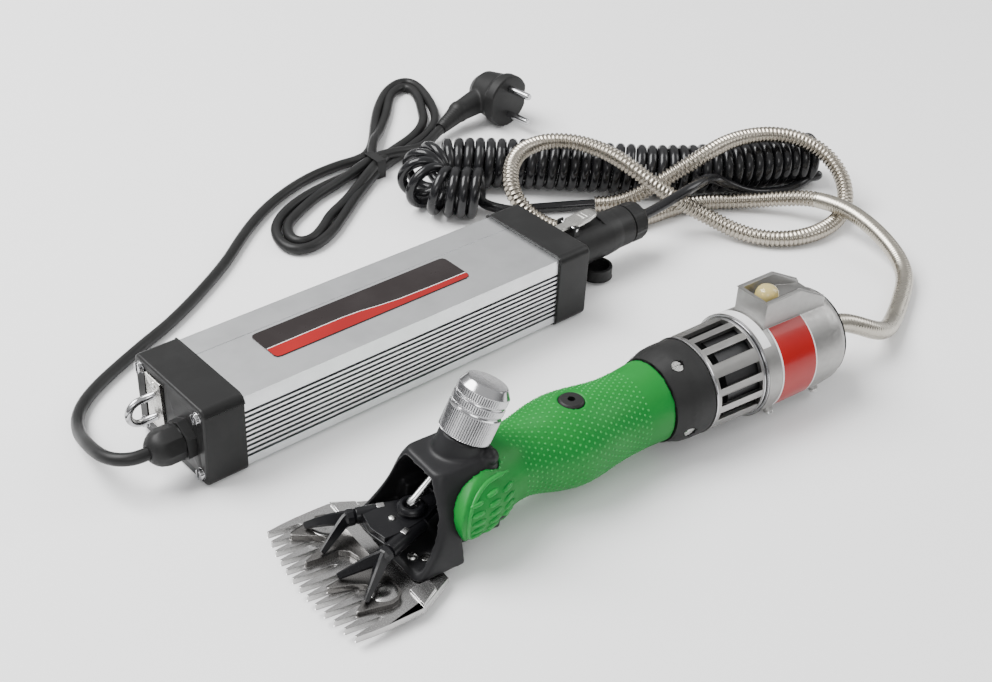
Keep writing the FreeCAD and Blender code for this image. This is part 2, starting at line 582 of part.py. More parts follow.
def comb_outline():
    """Thirteen tapered teeth on a bowed tip line, then the shouldered heel."""
    count, half, sweep = int(size("comb_teeth")), size("comb_half"), size("comb_sweep")
    pitch, root = 2 * half / (count - 1), size("comb_root")
    points = []
    for tooth in range(count):
        y = -half + tooth * pitch
        tip = -sweep * (1 - (y / half) ** 2)
        if tooth == 0:
            points += [(27.0, -40.6), (root, y - 2.0)]
        else:
            points += [(root, y - pitch / 2), (root - 0.3, y - 2.7), (root - 1.2, y - 2.1)]
        points += [(tip + 8, y - 1.5), (tip + 0.4, y - 0.5), (tip, y), (tip + 0.4, y + 0.5),
                   (tip + 8, y + 1.5)]
        if tooth == count - 1:
            points += [(root, y + 2.0), (27.0, 40.6)]
        else:
            points += [(root - 1.2, y + 2.1), (root - 0.3, y + 2.7)]
    points += [(33, 40.6), (52.5, 31), (52.5, 19.8), (46.5, 19.8), (46.5, 14.2), (52.5, 14.2),
               (52.5, -14.2), (46.5, -14.2), (46.5, -19.8), (52.5, -19.8), (52.5, -31), (33, -40.6)]
    return [(round(x, 3), round(y, 3)) for x, y in points]


def plain_plate(name, corners, thick, at):
    """A plate whose many corners are worked out, so only its thickness is bound to the sheet."""
    body, sketch = body_sketch(name, "XY_Plane")
    points = [Vector(x, y, 0) for x, y in corners]
    for start, end in zip(points, points[1:] + points[:1]):
        sketch.addGeometry(Part.LineSegment(start, end), False)
    pad = body.newObject("PartDesign::Pad", f"{name}_pad")
    pad.Profile = sketch
    pad.setExpression("Length", bound(thick))
    body.Placement = Placement(Vector(*at), Rotation())
    return body


def build_comb():
    flat = plain_plate("comb_flat", comb_outline(), "comb_thick", (0, 0, size("comb_bottom")))
    top = size("comb_bottom") + size("comb_thick")
    heels = []
    for i, side in enumerate((-1, 1)):
        corners = [(x, side * y) for x, y in ((33.8, 28.6), (33.8, 39.8), (43.8, 34.1), (43.8, 28.6))]
        heels.append(plain_plate(f"comb_heel_{i}", corners, "comb_heel_thick", (0, 0, top - 0.5)))
    keep("comb", fuse("comb", flat, *heels), TOOL)
    screws = []
    for i, y in enumerate((-17, 17)):
        head = rod(f"comb_screw_head_{i}", (49.5, y, 0.6), (49.5, y, size("comb_bottom")), 4.4)
        shank = rod(f"comb_screw_shank_{i}", (49.5, y, 2), (49.5, y, 9.6), 2.2)
        slot = box(f"comb_screw_slot_{i}", (44, y - 0.6, 0), (56, y + 0.6, 1.5))
        screws.append(cut(f"comb_screw_{i}", fuse(f"comb_screw_solid_{i}", head, shank), slot))
    keep("comb_screws", group("comb_screws", *screws), TOOL)


def cutter_half():
    """One side of the four-point cutter, from the middle notch out and round to the back."""
    return [(24.5, 0), (23.2, 4.6), (19.5, 7.9), (14, 7.6), (3.6, 9.0), (3.0, 9.9), (4.2, 10.6),
            (13.5, 14.2),
            (17.5, 16.6), (19.0, 18.4), (17.8, 20.4), (14.5, 22.6), (6.8, 28.2), (6.4, 29.2), (7.6, 29.8),
            (16, 31.6), (22, 33.2), (26.4, 32.2), (29.2, 29), (29.2, 12)]


def build_cutter():
    half = cutter_half()
    outline = half + [(x, -y) for x, y in reversed(half[1:])]
    base = size("comb_bottom") + size("comb_thick") + size("slide_gap")
    flat = plain_plate("cutter_flat", outline, "cutter_thick", (0, 0, base))
    holes = [rod(f"cutter_hole_{i}", (22.5, y, base - 1), (22.5, y, base + 5), 1.9)
             for i, y in enumerate((-25, 25))]
    keep("cutter", cut("cutter", flat, *holes), TOOL)


def build_fork():
    """The yoke: a plate and two splayed sockets in front, a neck, and two prongs that straddle the roller."""
    low, thick = size("fork_height"), size("fork_thick")
    plan = [(33, -9.5), (45, -10), (57, -7.5), (63, -4.5), (72, -4.5), (72, 4.5), (63, 4.5), (57, 7.5),
            (45, 10), (33, 9.5), (31, 0)]
    flat = plain_plate("fork_flat", plan, "fork_thick", (0, 0, low))
    gap = size("prong_gap")
    bridge = box("fork_bridge", (68, -gap - 3, 17.5), (72, gap + 3, low + thick))
    prongs = [box(f"fork_prong_{i}", (70, side, 13), (82, side + 3, 27))
              for i, side in enumerate((-gap - 3, gap))]
    sockets = [rod(f"fork_socket_{i}", (54, s * 6.6, 19.6), (32, s * 14, 19.6), 3.9)
               for i, s in enumerate((-1, 1))]
    bores = [rod(f"fork_bore_{i}", (50, s * 7.95, 19.6), (30, s * 14.68, 19.6), size("foot_radius"))
             for i, s in enumerate((-1, 1))]
    pivot = size("pivot_x")
    boss = rod("fork_boss", (pivot, 0, 17.2), (pivot, 0, low + 1), 4.6)
    socket = ball("fork_pivot_socket", (pivot, 0, 17.0), 3.0)
    solid_fork = fuse("fork_solid", flat, bridge, *prongs, *sockets, boss)
    keep("fork_yoke", cut("fork_yoke", solid_fork, *bores, socket), TOOL)


def build_chicken_feet():
    """Two forked feet that press the cutter's teeth on the comb, plugged into the yoke's sockets."""
    top = size("comb_bottom") + size("comb_thick") + size("slide_gap") + size("cutter_thick")
    for label, s in (("chicken_foot_right", -1), ("chicken_foot_left", 1)):
        stem = rod(f"{label}_stem", (50, s * 7.95, 19.6), (30, s * 14.68, 19.6), size("foot_radius"))
        hub = rod(f"{label}_hub", (32, s * 14, 19.6), (27, s * 15.7, 19.3), 3.9)
        toes = []
        for i, (x, y) in enumerate(((11.0, 9.6), (13.5, 27.5))):
            toes.append(taper(f"{label}_toe_{i}", (28.5, s * 15.2, 19.2), (x, s * y, top + 1.35), 3.4,
                              1.5))
            toes.append(ball(f"{label}_tip_{i}", (x, s * y, top + 1.3), 1.3))
        keep(label, fuse(label, stem, hub, *toes), TOOL)


def build_tension():
    pivot, fork_top = size("pivot_x"), size("fork_height") + size("fork_thick")
    cup_outline = [(0, 0), (6.3, 0), (6.6, 1.2), (6.6, 3.0), (5.6, 4.0), (3.9, 4.0), (2.6, 2.0), (0, 1.2)]
    keep("tension_cup",
         revolved("tension_cup", cup_outline, Placement(Vector(pivot, 0, fork_top), Rotation()),
                                 about="V_Axis"), TOOL)
    foot = Vector(pivot, 0, fork_top + 4.4)
    top = KNOB_LOCAL.multVec(Vector(0, 0, -6.5))
    keep("tension_pin", fuse("tension_pin", rod("tension_pin_rod", tuple(foot), tuple(top), 1.9),
                             ball("tension_pin_foot", tuple(foot), 2.4),
                             ball("tension_pin_head", tuple(top), 2.4)), TOOL)
    sleeve = [(0, -3.7), ("sleeve_radius", -3.7), ("sleeve_radius", 16.4), (0, 16.4)]
    keep("tension_sleeve", revolved("tension_sleeve", sleeve, KNOB_LOCAL, about="V_Axis"), TOOL)
    knob = [("thread_radius + 0.3", 0), ("knob_radius", 0), ("knob_radius", 13),
            ("knob_radius - 0.8", 13.6),
            ("knob_radius - 0.8", 14.4), ("knob_radius - 0.2", 15), ("knob_radius - 0.3", 18),
            ("knob_radius - 1", 18.6), ("knob_radius - 1", 19.4), ("knob_radius - 0.5", 20),
            ("knob_radius - 0.8", "knob_height - 3.5"), ("knob_radius - 2.4", "knob_height - 0.8"),
            (0, "knob_height"), (0, 16.5), ("thread_radius + 0.3", 16.5)]
    keep("tension_knob", revolved("tension_knob", knob, KNOB_LOCAL, about="V_Axis"), TOOL)
    post = [(0, 0), (2.6, 0), (2.6, 9.0), (0, 10.2)]
    keep("centre_post", revolved("centre_post", post, Placement(Vector(pivot, 0, 6.6), Rotation()),
                                 about="V_Axis"),
         TOOL)


# ---------------------------------------------------------------- handpiece: drive train and motor

def gear_shape(teeth, module, face, bore, backlash, phase):
    """A spur gear about Z with involute flanks, thinned by half the backlash on each side."""
    pitch_r, pressure = module * teeth / 2, math.radians(20)
    base_r, tip_r, root_r = pitch_r * math.cos(pressure), pitch_r + module * 0.95, pitch_r - module * 1.25

    def involute_angle(radius):
        if radius <= base_r:
            return 0.0
        roll = math.sqrt((radius / base_r) ** 2 - 1)
        return roll - math.atan(roll)

    half = math.pi / (2 * teeth) + involute_angle(pitch_r) - backlash / (2 * pitch_r)
    steps = [root_r] + [max(root_r, base_r) + (tip_r - max(root_r, base_r)) * k / 4 for k in range(5)]
    points = []
    for tooth in range(teeth):
        middle = 2 * math.pi * tooth / teeth + phase
        rising = [(r, middle - half + involute_angle(r)) for r in steps]
        falling = [(r, middle + half - involute_angle(r)) for r in reversed(steps)]
        points += [Vector(r * math.cos(a), r * math.sin(a), 0) for r, a in rising + falling]
    face_shape = Part.Face(Part.makePolygon(points + points[:1]))
    hole = Part.Face(Part.Wire(Part.Circle(Vector(), Z_AXIS, bore).toShape()))
    return face_shape.cut(hole).extrude(Vector(0, 0, face))


def build_gears():
    """The pinion on the rotor shaft drives the gear on the crankshaft, straight below it."""
    face = size("gear_face")
    pinion = shaped("motor_pinion", gear_shape(int(size("pinion_teeth")), size("gear_module"), face,
                                               2.0, 0.12, 0.0))
    pinion.Placement = Placement(Vector(190, 0, size("axis_height")), ALONG_X)
    keep("motor_pinion", pinion, TOOL)
    gear_teeth = int(size("gear_teeth"))
    gear = shaped("drive_gear", gear_shape(gear_teeth, size("gear_module"), face, 2.5, 0.12,
                                           math.pi + math.pi / gear_teeth))
    gear.Placement = Placement(Vector(190, 0, size("crank_height")), ALONG_X)
    keep("drive_gear", gear, TOOL)


def build_crank():
    z, radius = size("crank_height"), size("shaft_radius")
    place = Placement(Vector(0, 0, z), Rotation())
    outline = [(84, 0), (84, 5.6), (88.5, 5.6), (88.5, "shaft_radius"), (189, "shaft_radius"), (189, 2.5),
               (198.5, 2.5), (198.5, 0)]
    shaft = revolved("crank_shaft_turned", outline, place)
    throw = z + size("crank_throw")
    pin = rod("crank_pin", (75.5, 0, throw), (85, 0, throw), 1.6)
    keep("crank_shaft", fuse("crank_shaft", shaft, pin), TOOL)
    roller = cut("crank_roller", rod("roller_outside", (76.2, 0, throw), (82.6, 0, throw),
                                     size("roller_radius")),
                 rod("roller_inside", (75, 0, throw), (84, 0, throw), 1.6))
    keep("crank_roller", roller, TOOL)
    bearings = [revolved(f"crank_bearing_{i}", [(x, "shaft_radius + fit_gap"), (x, 6.0), (x + 6, 6.0),
                                                (x + 6, "shaft_radius + fit_gap")], place)
                for i, x in enumerate((91, 181.5))]
    keep("crank_bearings", group("crank_bearings", *bearings), TOOL)


def build_motor():
    axis = Placement(Vector(0, 0, size("axis_height")), Rotation())
    shaft = [(188, 0), (188, 2.0), (198, 2.0), (198, "rotor_shaft"), (303, "rotor_shaft"), (303, 0)]
    keep("rotor_shaft", revolved("rotor_shaft", shaft, axis), TOOL)
    core = revolved("rotor_drum", [(228, "rotor_shaft"), (228, "rotor_radius"), (256, "rotor_radius"),
                                   (256, "rotor_shaft")], axis)
    slots = []
    for i in range(8):
        angle = 2 * math.pi * i / 8
        slot = box(f"rotor_slot_{i}", (227, -1.4, 8), (257, 1.4, 15))
        slot.Placement = Placement(Vector(0, 0, size("axis_height")),
                                   Rotation(X_AXIS, math.degrees(angle))).multiply(
            slot.Placement)
        slots.append(slot)
    keep("rotor_core", cut("rotor_core", core, *slots), TOOL)
    keep("commutator", revolved("commutator", [(268, "rotor_shaft"), (268, 7), (279, 7),
                                               (279, "rotor_shaft")], axis), TOOL)
    hub = revolved("fan_hub", [(217.5, "rotor_shaft"), (217.5, 8), (224.5, 8), (224.5, "rotor_shaft")],
                   axis)
    blades = []
    for i in range(9):
        blade = box(f"fan_blade_{i}", (-0.6, -3.0, 7.5), (0.6, 3.0, 20.5))
        lean = Placement(Vector(221, 0, 0), Rotation(Z_AXIS, 38)).multiply(blade.Placement)
        blade.Placement = Placement(Vector(0, 0, size("axis_height")),
                                    Rotation(X_AXIS, 40 * i)).multiply(lean)
        blades.append(blade)
    keep("cooling_fan", fuse("cooling_fan", hub, *blades), TOOL)
    bearings = [revolved(f"rotor_bearing_{i}", [(x, "rotor_shaft + fit_gap"), (x, 8), (x + 5, 8),
                                                (x + 5, "rotor_shaft + fit_gap")], axis)
                                                for i, x in enumerate((206, 293))]
    keep("rotor_bearings", group("rotor_bearings", *bearings), TOOL)
    keep("stator_shell", revolved("stator_shell", [(226, 14.4), (226, 22.5), (258, 22.5), (258, 14.4)],
                                  axis), TOOL)
    z = size("axis_height")
    brushes = [box(f"carbon_brush_{i}", (270.5, side, z - 2.5), (276.5, side + 9, z + 2.5))
               for i, side in enumerate((-16.3, 7.3))]
    keep("carbon_brushes", group("carbon_brushes", *brushes), TOOL)


def build_collar():
    """The black gearbox collar, with four recessed screws into the motor cage."""
    axis = Placement(Vector(0, 0, size("axis_height")), Rotation())
    outline = [(186, 17.0), (186, 19.0), (193.2, 19.0), (193.2, 21.6), (196, 22.6),
               (202, "collar_radius - 0.5"),
               (207, "collar_radius"), ("collar_rear", "collar_radius"), ("collar_rear", 22.8),
               (212, 22.0), (212, 8.0),
               (204, 8.0), (204, 17.0)]
    turned = revolved("collar_turned", outline, axis)
    sinks, screws = [], []
    for i in range(4):
        spin = Placement(Vector(0, 0, size("axis_height")), Rotation(X_AXIS, 90 * i + 20))
        sink = rod(f"collar_sink_{i}", (202, 0, 22.6), (202, 0, 30), 3.6)
        hole = rod(f"collar_hole_{i}", (202, 0, 16), (202, 0, 24), 1.9)
        head = rod(f"collar_screw_head_{i}", (202, 0, 22.6), (202, 0, 24.3), 3.1)
        shank = rod(f"collar_screw_shank_{i}", (202, 0, 17.4), (202, 0, 23), 1.9)
        slot = box(f"collar_screw_slot_{i}", (197, -0.5, 23.6), (207, 0.5, 25))
        for item in (sink, hole, head, shank, slot):
            item.Placement = spin.multiply(item.Placement)
        sinks += [sink, hole]
        screws.append(cut(f"collar_screw_{i}", fuse(f"collar_screw_solid_{i}", head, shank), slot))
    keep("motor_collar", cut("motor_collar", turned, *sinks), TOOL)
    return screws


def slot_angles():
    """Cage slots in five groups of three, with a wide web between the groups."""
    return [8 + 72 * g + 21.5 * k for g in range(5) for k in (-1, 0, 1)]


def build_cage():
    axis = Placement(Vector(0, 0, size("axis_height")), Rotation())
    outline = [("collar_rear", 22.8), ("collar_rear", "collar_radius"), ("cage_rear", "cage_radius"),
               ("cage_rear", "cage_radius - cage_wall"), ("collar_rear + 3", "cage_radius - cage_wall")]
    tube = revolved("cage_tube", outline, axis)
    slots = []
    for i, angle in enumerate(slot_angles()):
        slot = box(f"cage_slot_{i}", (219.5, -2.9, 21), (246.5, 2.9, 28))
        slot.Placement = Placement(Vector(0, 0, size("axis_height")),
                                   Rotation(X_AXIS, angle)).multiply(slot.Placement)
        slots.append(slot)
    keep("motor_cage", cut("motor_cage", tube, *slots), TOOL)


def turret_profile():
    """Side view of the switch turret's walls: level over the button, then sloping away to the rear."""
    return [(257, 44), (257, 68.2), (281, 68.8), (301.5, 58), (301.5, 50), (296, 44)]


def build_rear_housing():
    """The die-cast rear housing with its switch turret and two screw bosses below."""
    axis = Placement(Vector(0, 0, size("axis_height")), Rotation())
    outline = [("cage_rear", "cage_radius - 2.6"), ("cage_rear", "housing_radius"),
               (297, "housing_radius"),
               (304, "housing_radius - 0.7"), ("housing_rear", "housing_radius - 2.4"),
               ("housing_rear", 21.5),
               (298.2, 21.5), (298.2, 8.0), (292.8, 8.0), (292.8, "housing_radius - housing_wall"),
               (253, "housing_radius - housing_wall"), (253, "cage_radius - 2.6")]
    shell = revolved("housing_turned", outline, axis)
    side = Part.Face(Part.makePolygon([Vector(x, -10.5, z)
                                       for x, z in turret_profile() + turret_profile()[:1]]))
    turret = shaped("turret_block", side.extrude(Vector(0, 21, 0)))
    bore = revolved("turret_clear", [(252.9, 0), (252.9, "housing_radius - housing_wall"),
                                     (292.8, "housing_radius - housing_wall"), (292.8, 0)], axis)
    rear_bore = rod("turret_rear_clear", (298.2, 0, 28), (310, 0, 28), 21.5)
    middle_bore = rod("turret_mid_clear", (292, 0, 28), (299, 0, 28), 8.0)
    well = Part.Face(Part.makePolygon([Vector(x, -8.6, z) for x, z in
                                       ((259.2, 61), (259.2, 72), (310, 72), (310, 56), (296, 57.5),
                                        (284, 61), (259.2, 61))]))
    pocket = shaped("turret_pocket", well.extrude(Vector(0, 17.2, 0)))
    switch_hole = box("turret_switch_hole", (260.9, -5.7, 48), (275.1, 5.7, 57.1))
    stem_hole = rod("turret_stem_hole", (268, 0, 56), (268, 0, 62), 2.5)
    bosses = []
    for i, (x, angle) in enumerate(((262, 222), (299, 214))):
        boss = rod(f"housing_boss_{i}", (x, 0, 23.4), (x, 0, 29.6), 2.6)
        boss.Placement = Placement(Vector(0, 0, 28), Rotation(X_AXIS, -angle)).multiply(boss.Placement)
        bosses.append(boss)
    solid_part = fuse("housing_solid", shell, cut("turret_trimmed", turret, bore, rear_bore, middle_bore))
    keep("rear_housing", cut("rear_housing", fuse("housing_with_bosses", solid_part, *bosses), pocket,
                             switch_hole,
                             stem_hole), TOOL)


def build_motor_screws(collar_screws):
    caps = []
    for i, (x, angle) in enumerate(((262, 222), (299, 214))):
        head = rod(f"boss_screw_{i}", (x, 0, 29.6), (x, 0, 31.0), 2.1)
        head.Placement = Placement(Vector(0, 0, 28), Rotation(X_AXIS, -angle)).multiply(head.Placement)
        caps.append(head)
    keep("motor_screws", group("motor_screws", *collar_screws, *caps), TOOL)


def build_switch():
    block = box("switch_block", (261, -5.6, 48.3), (275, 5.6, 57.0))
    well = rod("switch_well", (268, 0, 52.8), (268, 0, 58), 2.5)
    keep("switch_body", cut("switch_body", block, well), TOOL)
    stem = rod("button_stem", (268, 0, 54.9), (268, 0, 64), 2.2)
    skirt = rod("button_skirt", (268, 0, 62.8), (268, 0, 65.6), size("button_radius"))
    dome = ball("button_ball", (268, 0, 64.0), 6.4)
    base_trim = box("button_trim", (258, -10, 50), (278, 10, 64.6))
    keep("switch_button", fuse("switch_button", stem, skirt, cut("button_dome", dome, base_trim)), TOOL)


def build_rear_cap():
    axis = Placement(Vector(0, 0, size("axis_height")), Rotation())
    outline = [("housing_rear", 21.5), ("housing_rear", "housing_radius - 2.6"),
               (309.4, "housing_radius - 3"),
               (311.6, 21), (315, 14), ("cap_rear", 8.4), ("cap_rear + 5", 7.6),
               ("cap_rear + 5", "conduit_radius + 1.2"),
               ("cap_rear", "conduit_radius + 0.1"), (313, "conduit_radius + 0.1"), (313, 11.5),
               (308.5, 18), (304, 19.5), (304, 21.5)]
    keep("rear_cap", revolved("rear_cap", outline, axis), TOOL)


def arc_strip(x_low, x_high, inner, outer, start, sweep):
    """Part of a thin ring about the handpiece axis. Angles start at the top and run to the near side."""
    ring = Part.makeCylinder(outer, x_high - x_low, Vector(x_low, 0, 0), X_AXIS, sweep).cut(
        Part.makeCylinder(inner, x_high - x_low, Vector(x_low, 0, 0), X_AXIS, 360))
    ring.Placement = Placement(Vector(0, 0, size("axis_height")), Rotation(X_AXIS, start))
    return ring


def build_labels():
    radius = size("housing_radius")
    strip = arc_strip(250.4, 256.4, radius, radius + 0.3, -35, 77)
    band = arc_strip(259.5, 284.0, radius, radius + 0.3, 0, 122)
    turret = doc.getObject("turret_block")
    labels = [cut(f"{name}_trimmed", shaped(name, shape), turret)
              for name, shape in (("serial_strip", strip), ("colour_band", band))]
    keep("motor_labels", group("motor_labels", *labels), TOOL)


# ---------------------------------------------------------------- handpiece: grip

def build_grip(head_outer):
    """The rubber sleeve: belly under the palm, waist behind the head, a tongue down the near cheek."""
    stations = [(56, 29, 29.6, 23), (70, 28.8, 29, 22.5), (84, 28.4, 26.6, 21.2), (97, 27.8, 21.2, 18.8),
                (110, 27.4, 18.6, 18.2), (124, 27, 21.2, 21.2), (140, 26.4, 23.8, 23.2),
                (156, 26.4, 22.0, 22.0),
                (172, 26.8, 20.4, 20.4), (184, 27.6, 20.8, 20.8), (193, 28, 21.4, 21.4)]
    loft = shaped("grip_loft", Part.makeLoft([oval_section(*s) for s in stations], True))
    tongue = [(97, 60), (93.5, 50.5), (84, 46.5), (70, 43.5), (62.5, 37), (60.5, 28), (64, 19),
              (73, 12.5), (80, 5), (80, -5),
              (200, -5), (200, 60)]
    side = Part.BSplineCurve()
    side.interpolate(Points=[Vector(x, -40, z) for x, z in tongue[:9]])
    rest = Part.makePolygon([Vector(x, -40, z) for x, z in [tongue[8], *tongue[9:], tongue[0]]])
    wall = Part.Face(Part.Wire([side.toShape()] + rest.Edges)).extrude(Vector(0, 80, 0))
    keeper = shaped("grip_keeper", wall)
    trimmed = doc.addObject("Part::Common", "grip_trimmed")
    trimmed.Base, trimmed.Tool = loft, keeper
    axis_z = size("axis_height")
    core = rod("grip_core", (86, 0, axis_z), (190, 0, axis_z), size("barrel_radius"))
    flange = rod("grip_flange", (180, 0, axis_z), (190, 0, axis_z), 17.0)
    seat = rod("grip_collar_seat", (185.9, 0, axis_z), (200, 0, axis_z), 19.05)
    neck = solid("Cylinder", "grip_neck", Radius=13.6, Height=60)
    neck.Placement = KNOB_LOCAL.multiply(Placement(Vector(0, 0, -26), Rotation()))
    plug_hole = rod("grip_plug_hole", (142.5, 0, 36), (142.5, 0, 60), 6.4)
    far_cheek = box("grip_far_cheek", (50, 14, -5), (84, 45, 75))
    keep("grip_sleeve", cut("grip_sleeve", trimmed, head_outer, core, flange, seat, neck, plug_hole,
                            far_cheek), TOOL)
    plug = [(0, 0), (3.0, 0), (3.0, 8.4), (6.4, 8.4), (6.4, 13.6), (5.4, 14.6), (2.2, 14.6),
            (2.2, 12.2), (0, 12.2)]
    keep("oil_plug", revolved("oil_plug", plug, Placement(Vector(142.5, 0, 35.1), Rotation()),
                              about="V_Axis"), TOOL)


# ---------------------------------------------------------------- cords

def build_cords():
    keep("mains_cord", shaped("mains_cord", tube_shape(MAINS_ROUTE, size("mains_radius"),
                                                       "mains_cord")), BENCH)
    keep("curly_lead", shaped("curly_lead", tube_shape(LEAD_ROUTE, size("lead_radius"), "curly_lead")),
         BENCH)
    keep("curly_cord", shaped("curly_cord", tube_shape(COIL_ROUTE, size("coil_radius"), "curly_cord")),
         BENCH)
    keep("curly_tail", shaped("curly_tail", tube_shape(TAIL_ROUTE, size("lead_radius"), "curly_tail")),
         BENCH)
    keep("conduit", shaped("conduit", tube_shape(CONDUIT_ROUTE, size("conduit_radius"), "conduit")),
         BENCH)


def build_hank():
    """The mains cord's tied figure of eight, as the outer shape of its two open lobes."""
    height = size("hank_height")
    lower = curved_prism([(259, 203), (228, 184), (203, 165), (181, 151), (162, 145), (149, 151),
                          (147, 166), (156, 184),
                          (174, 198), (198, 207), (226, 213), (257, 215)], 0, height)
    lower_hole = curved_prism([(226, 199), (205, 184), (184, 168), (172, 164), (168, 171), (177, 184),
                               (198, 195)], -1,
                              height + 1)
    upper = curved_prism([(250, 199), (262, 217), (285, 247), (308, 278), (333, 305), (352, 312),
                          (366, 302), (362, 281),
                          (350, 256), (338, 237), (330, 223), (309, 213), (280, 203)], 0, height)
    upper_hole = curved_prism([(300, 240), (315, 260), (334, 284), (349, 291), (350, 278), (340, 258),
                               (327, 243),
                               (311, 236)], -1, height + 1)
    waist = Part.makeBox(7, 40, 40, Vector(251.5, 187, -10)).cut(
        Part.makeBox(9, 12, height - 1.6, Vector(250.5, 200.5, 0.8)))
    hank = lower.cut(lower_hole).fuse(upper.cut(upper_hole)).removeSplitter().cut(waist)
    keep("mains_hank", shaped("mains_hank", hank), BENCH)
    band = box("tie_band", (251.7, 199, 0.1), (258.3, 214, height - 0.1))
    inside = box("tie_inside", (251, 200.4, 0.7), (259, 212.6, height - 0.7))
    keep("mains_tie", cut("mains_tie", band, inside), BENCH)


def build_plug():
    """An angled earthed plug: a round front across the pins, its cord arm off to one side."""
    body = [(0, 0), (0, "plug_radius"), (-7, "plug_radius"), (-9, "plug_radius - 1.5"),
            (-24, "plug_radius - 4"),
            (-30, "plug_radius - 9"), (-31, "plug_radius - 12"), (-31, 0)]
    round_body = revolved("mains_plug_round", body)
    arm = taper("mains_plug_arm", (-18, -6, -1), (-20, -30, -5.5), 9.5, 7.2)
    boot = taper("mains_plug_boot", (-20, -30, -5.5), (-17.4, -48.6, -10.5), 7.2, 4.4)
    knuckle = ball("mains_plug_knuckle", (-20, -30, -5.5), 7.7)
    sides = [box(f"mains_plug_flat_{i}", (-40, side, -30), (1, side + 10, 30))
             for i, side in enumerate((17.2, -27.2))]
    grooves = [box(f"mains_plug_groove_{i}", (-20, side, -2.6), (1, side + 2, 2.6))
               for i, side in enumerate((16.0, -18.0))]
    trimmed = cut("mains_plug_trimmed", round_body, *sides)
    whole = fuse("mains_plug_solid", trimmed, arm, boot, knuckle)
    keep("mains_plug", cut("mains_plug", whole, grooves[0]), BENCH.multiply(PLUG_LOCAL))
    half = size("pin_spacing") / 2
    pins = []
    for i, z in enumerate((-half, half)):
        shank = rod(f"plug_pin_shank_{i}", (0, 0, z), (size("pin_length") - 1.2, 0, z),
                    size("pin_radius"))
        tip = taper(f"plug_pin_tip_{i}", (size("pin_length") - 1.2, 0, z), (size("pin_length"), 0, z),
                    size("pin_radius"), size("pin_radius") - 1.0)
        pins.append(fuse(f"plug_pin_{i}", shank, tip))
    clip = box("plug_earth_clip", (-16, 16.1, -2.5), (-0.5, 16.9, 2.5))
    keep("plug_pins", group("plug_pins", *pins, clip), BENCH.multiply(PLUG_LOCAL))


# ---------------------------------------------------------------- the whole part

def build_all():
    build_gland_cap()
    build_socket_cap()
    build_case()
    build_cap_screws()
    build_label()
    build_electronics()
    build_hanging_eye()
    build_gland()
    build_socket_and_plug()
    build_latch()
    build_dust_cap()
    build_hinge_pins()
    head_outer = build_head()
    build_comb()
    build_cutter()
    build_fork()
    build_chicken_feet()
    build_tension()
    build_gears()
    build_crank()
    build_motor()
    collar_screws = build_collar()
    build_cage()
    build_rear_housing()
    build_motor_screws(collar_screws)
    build_switch()
    build_rear_cap()
    build_labels()
    build_grip(head_outer)
    build_cords()
    build_hank()
    build_plug()


def check_and_write():
    doc.recompute()
    failed = [o.Name for o in doc.Objects if "Invalid" in o.State or "Error" in o.State]
    broken = [label for label, item in nodes if item.Shape.isNull() or not item.Shape.isValid()]
    for label, item in nodes:
        b = item.Shape.optimalBoundingBox()
        print(f"{label:20s} solids {len(item.Shape.Solids)} volume {item.Shape.Volume:10.1f} "
              f"x {b.XMin:7.1f} {b.XMax:7.1f} y {b.YMin:7.1f} {b.YMax:7.1f} z {b.ZMin:6.2f} {b.ZMax:6.2f}")
    if failed or broken:
        raise RuntimeError(f"failed objects {failed}, broken shapes {broken}")
    os.makedirs("parts", exist_ok=True)
    for label, item in nodes:
        item.Shape.exportStep(f"parts/{label}.step")
    print(len(nodes), "nodes written")


build_all()
check_and_write()
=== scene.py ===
"""Looks for the electric sheep shears: a handpiece, its controller box and the cords between them.

Lengths in this script are millimetres, turned into metres as each point is placed. BENCH is the
controller's near bottom corner, TOOL the middle of the comb's tips, KNOB the foot of the tension knob,
ROTOR the motor's axis and PLUG the face that the mains pins stand on.
"""
import bmesh
import bpy
import itertools
import json
import math
from mathutils import Euler, Matrix, Vector
from mathutils.bvhtree import BVHTree


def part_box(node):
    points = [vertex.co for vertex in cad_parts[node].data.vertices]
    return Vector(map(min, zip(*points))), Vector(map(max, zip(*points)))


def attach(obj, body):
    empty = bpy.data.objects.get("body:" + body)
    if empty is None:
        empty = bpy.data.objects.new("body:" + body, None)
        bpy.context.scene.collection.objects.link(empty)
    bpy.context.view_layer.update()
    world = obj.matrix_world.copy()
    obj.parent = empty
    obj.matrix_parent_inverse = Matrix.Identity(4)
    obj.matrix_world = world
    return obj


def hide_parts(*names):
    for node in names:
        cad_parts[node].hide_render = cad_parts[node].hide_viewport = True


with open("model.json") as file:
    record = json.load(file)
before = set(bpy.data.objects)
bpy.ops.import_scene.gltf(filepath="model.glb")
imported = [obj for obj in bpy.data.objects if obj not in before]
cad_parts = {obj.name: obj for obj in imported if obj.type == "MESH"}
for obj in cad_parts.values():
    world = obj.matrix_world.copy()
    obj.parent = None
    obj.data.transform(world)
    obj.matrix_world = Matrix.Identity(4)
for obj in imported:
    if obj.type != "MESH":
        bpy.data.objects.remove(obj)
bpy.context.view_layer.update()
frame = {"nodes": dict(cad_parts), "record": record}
nodes = frame["nodes"]
record_bodies = frame["record"]["behaviour"]["bodies"]
node_body = {node: body for body, members in record_bodies.items() for node in members}
node_slot = {part["node"]: part["material_slot"] for part in frame["record"]["subparts"]}

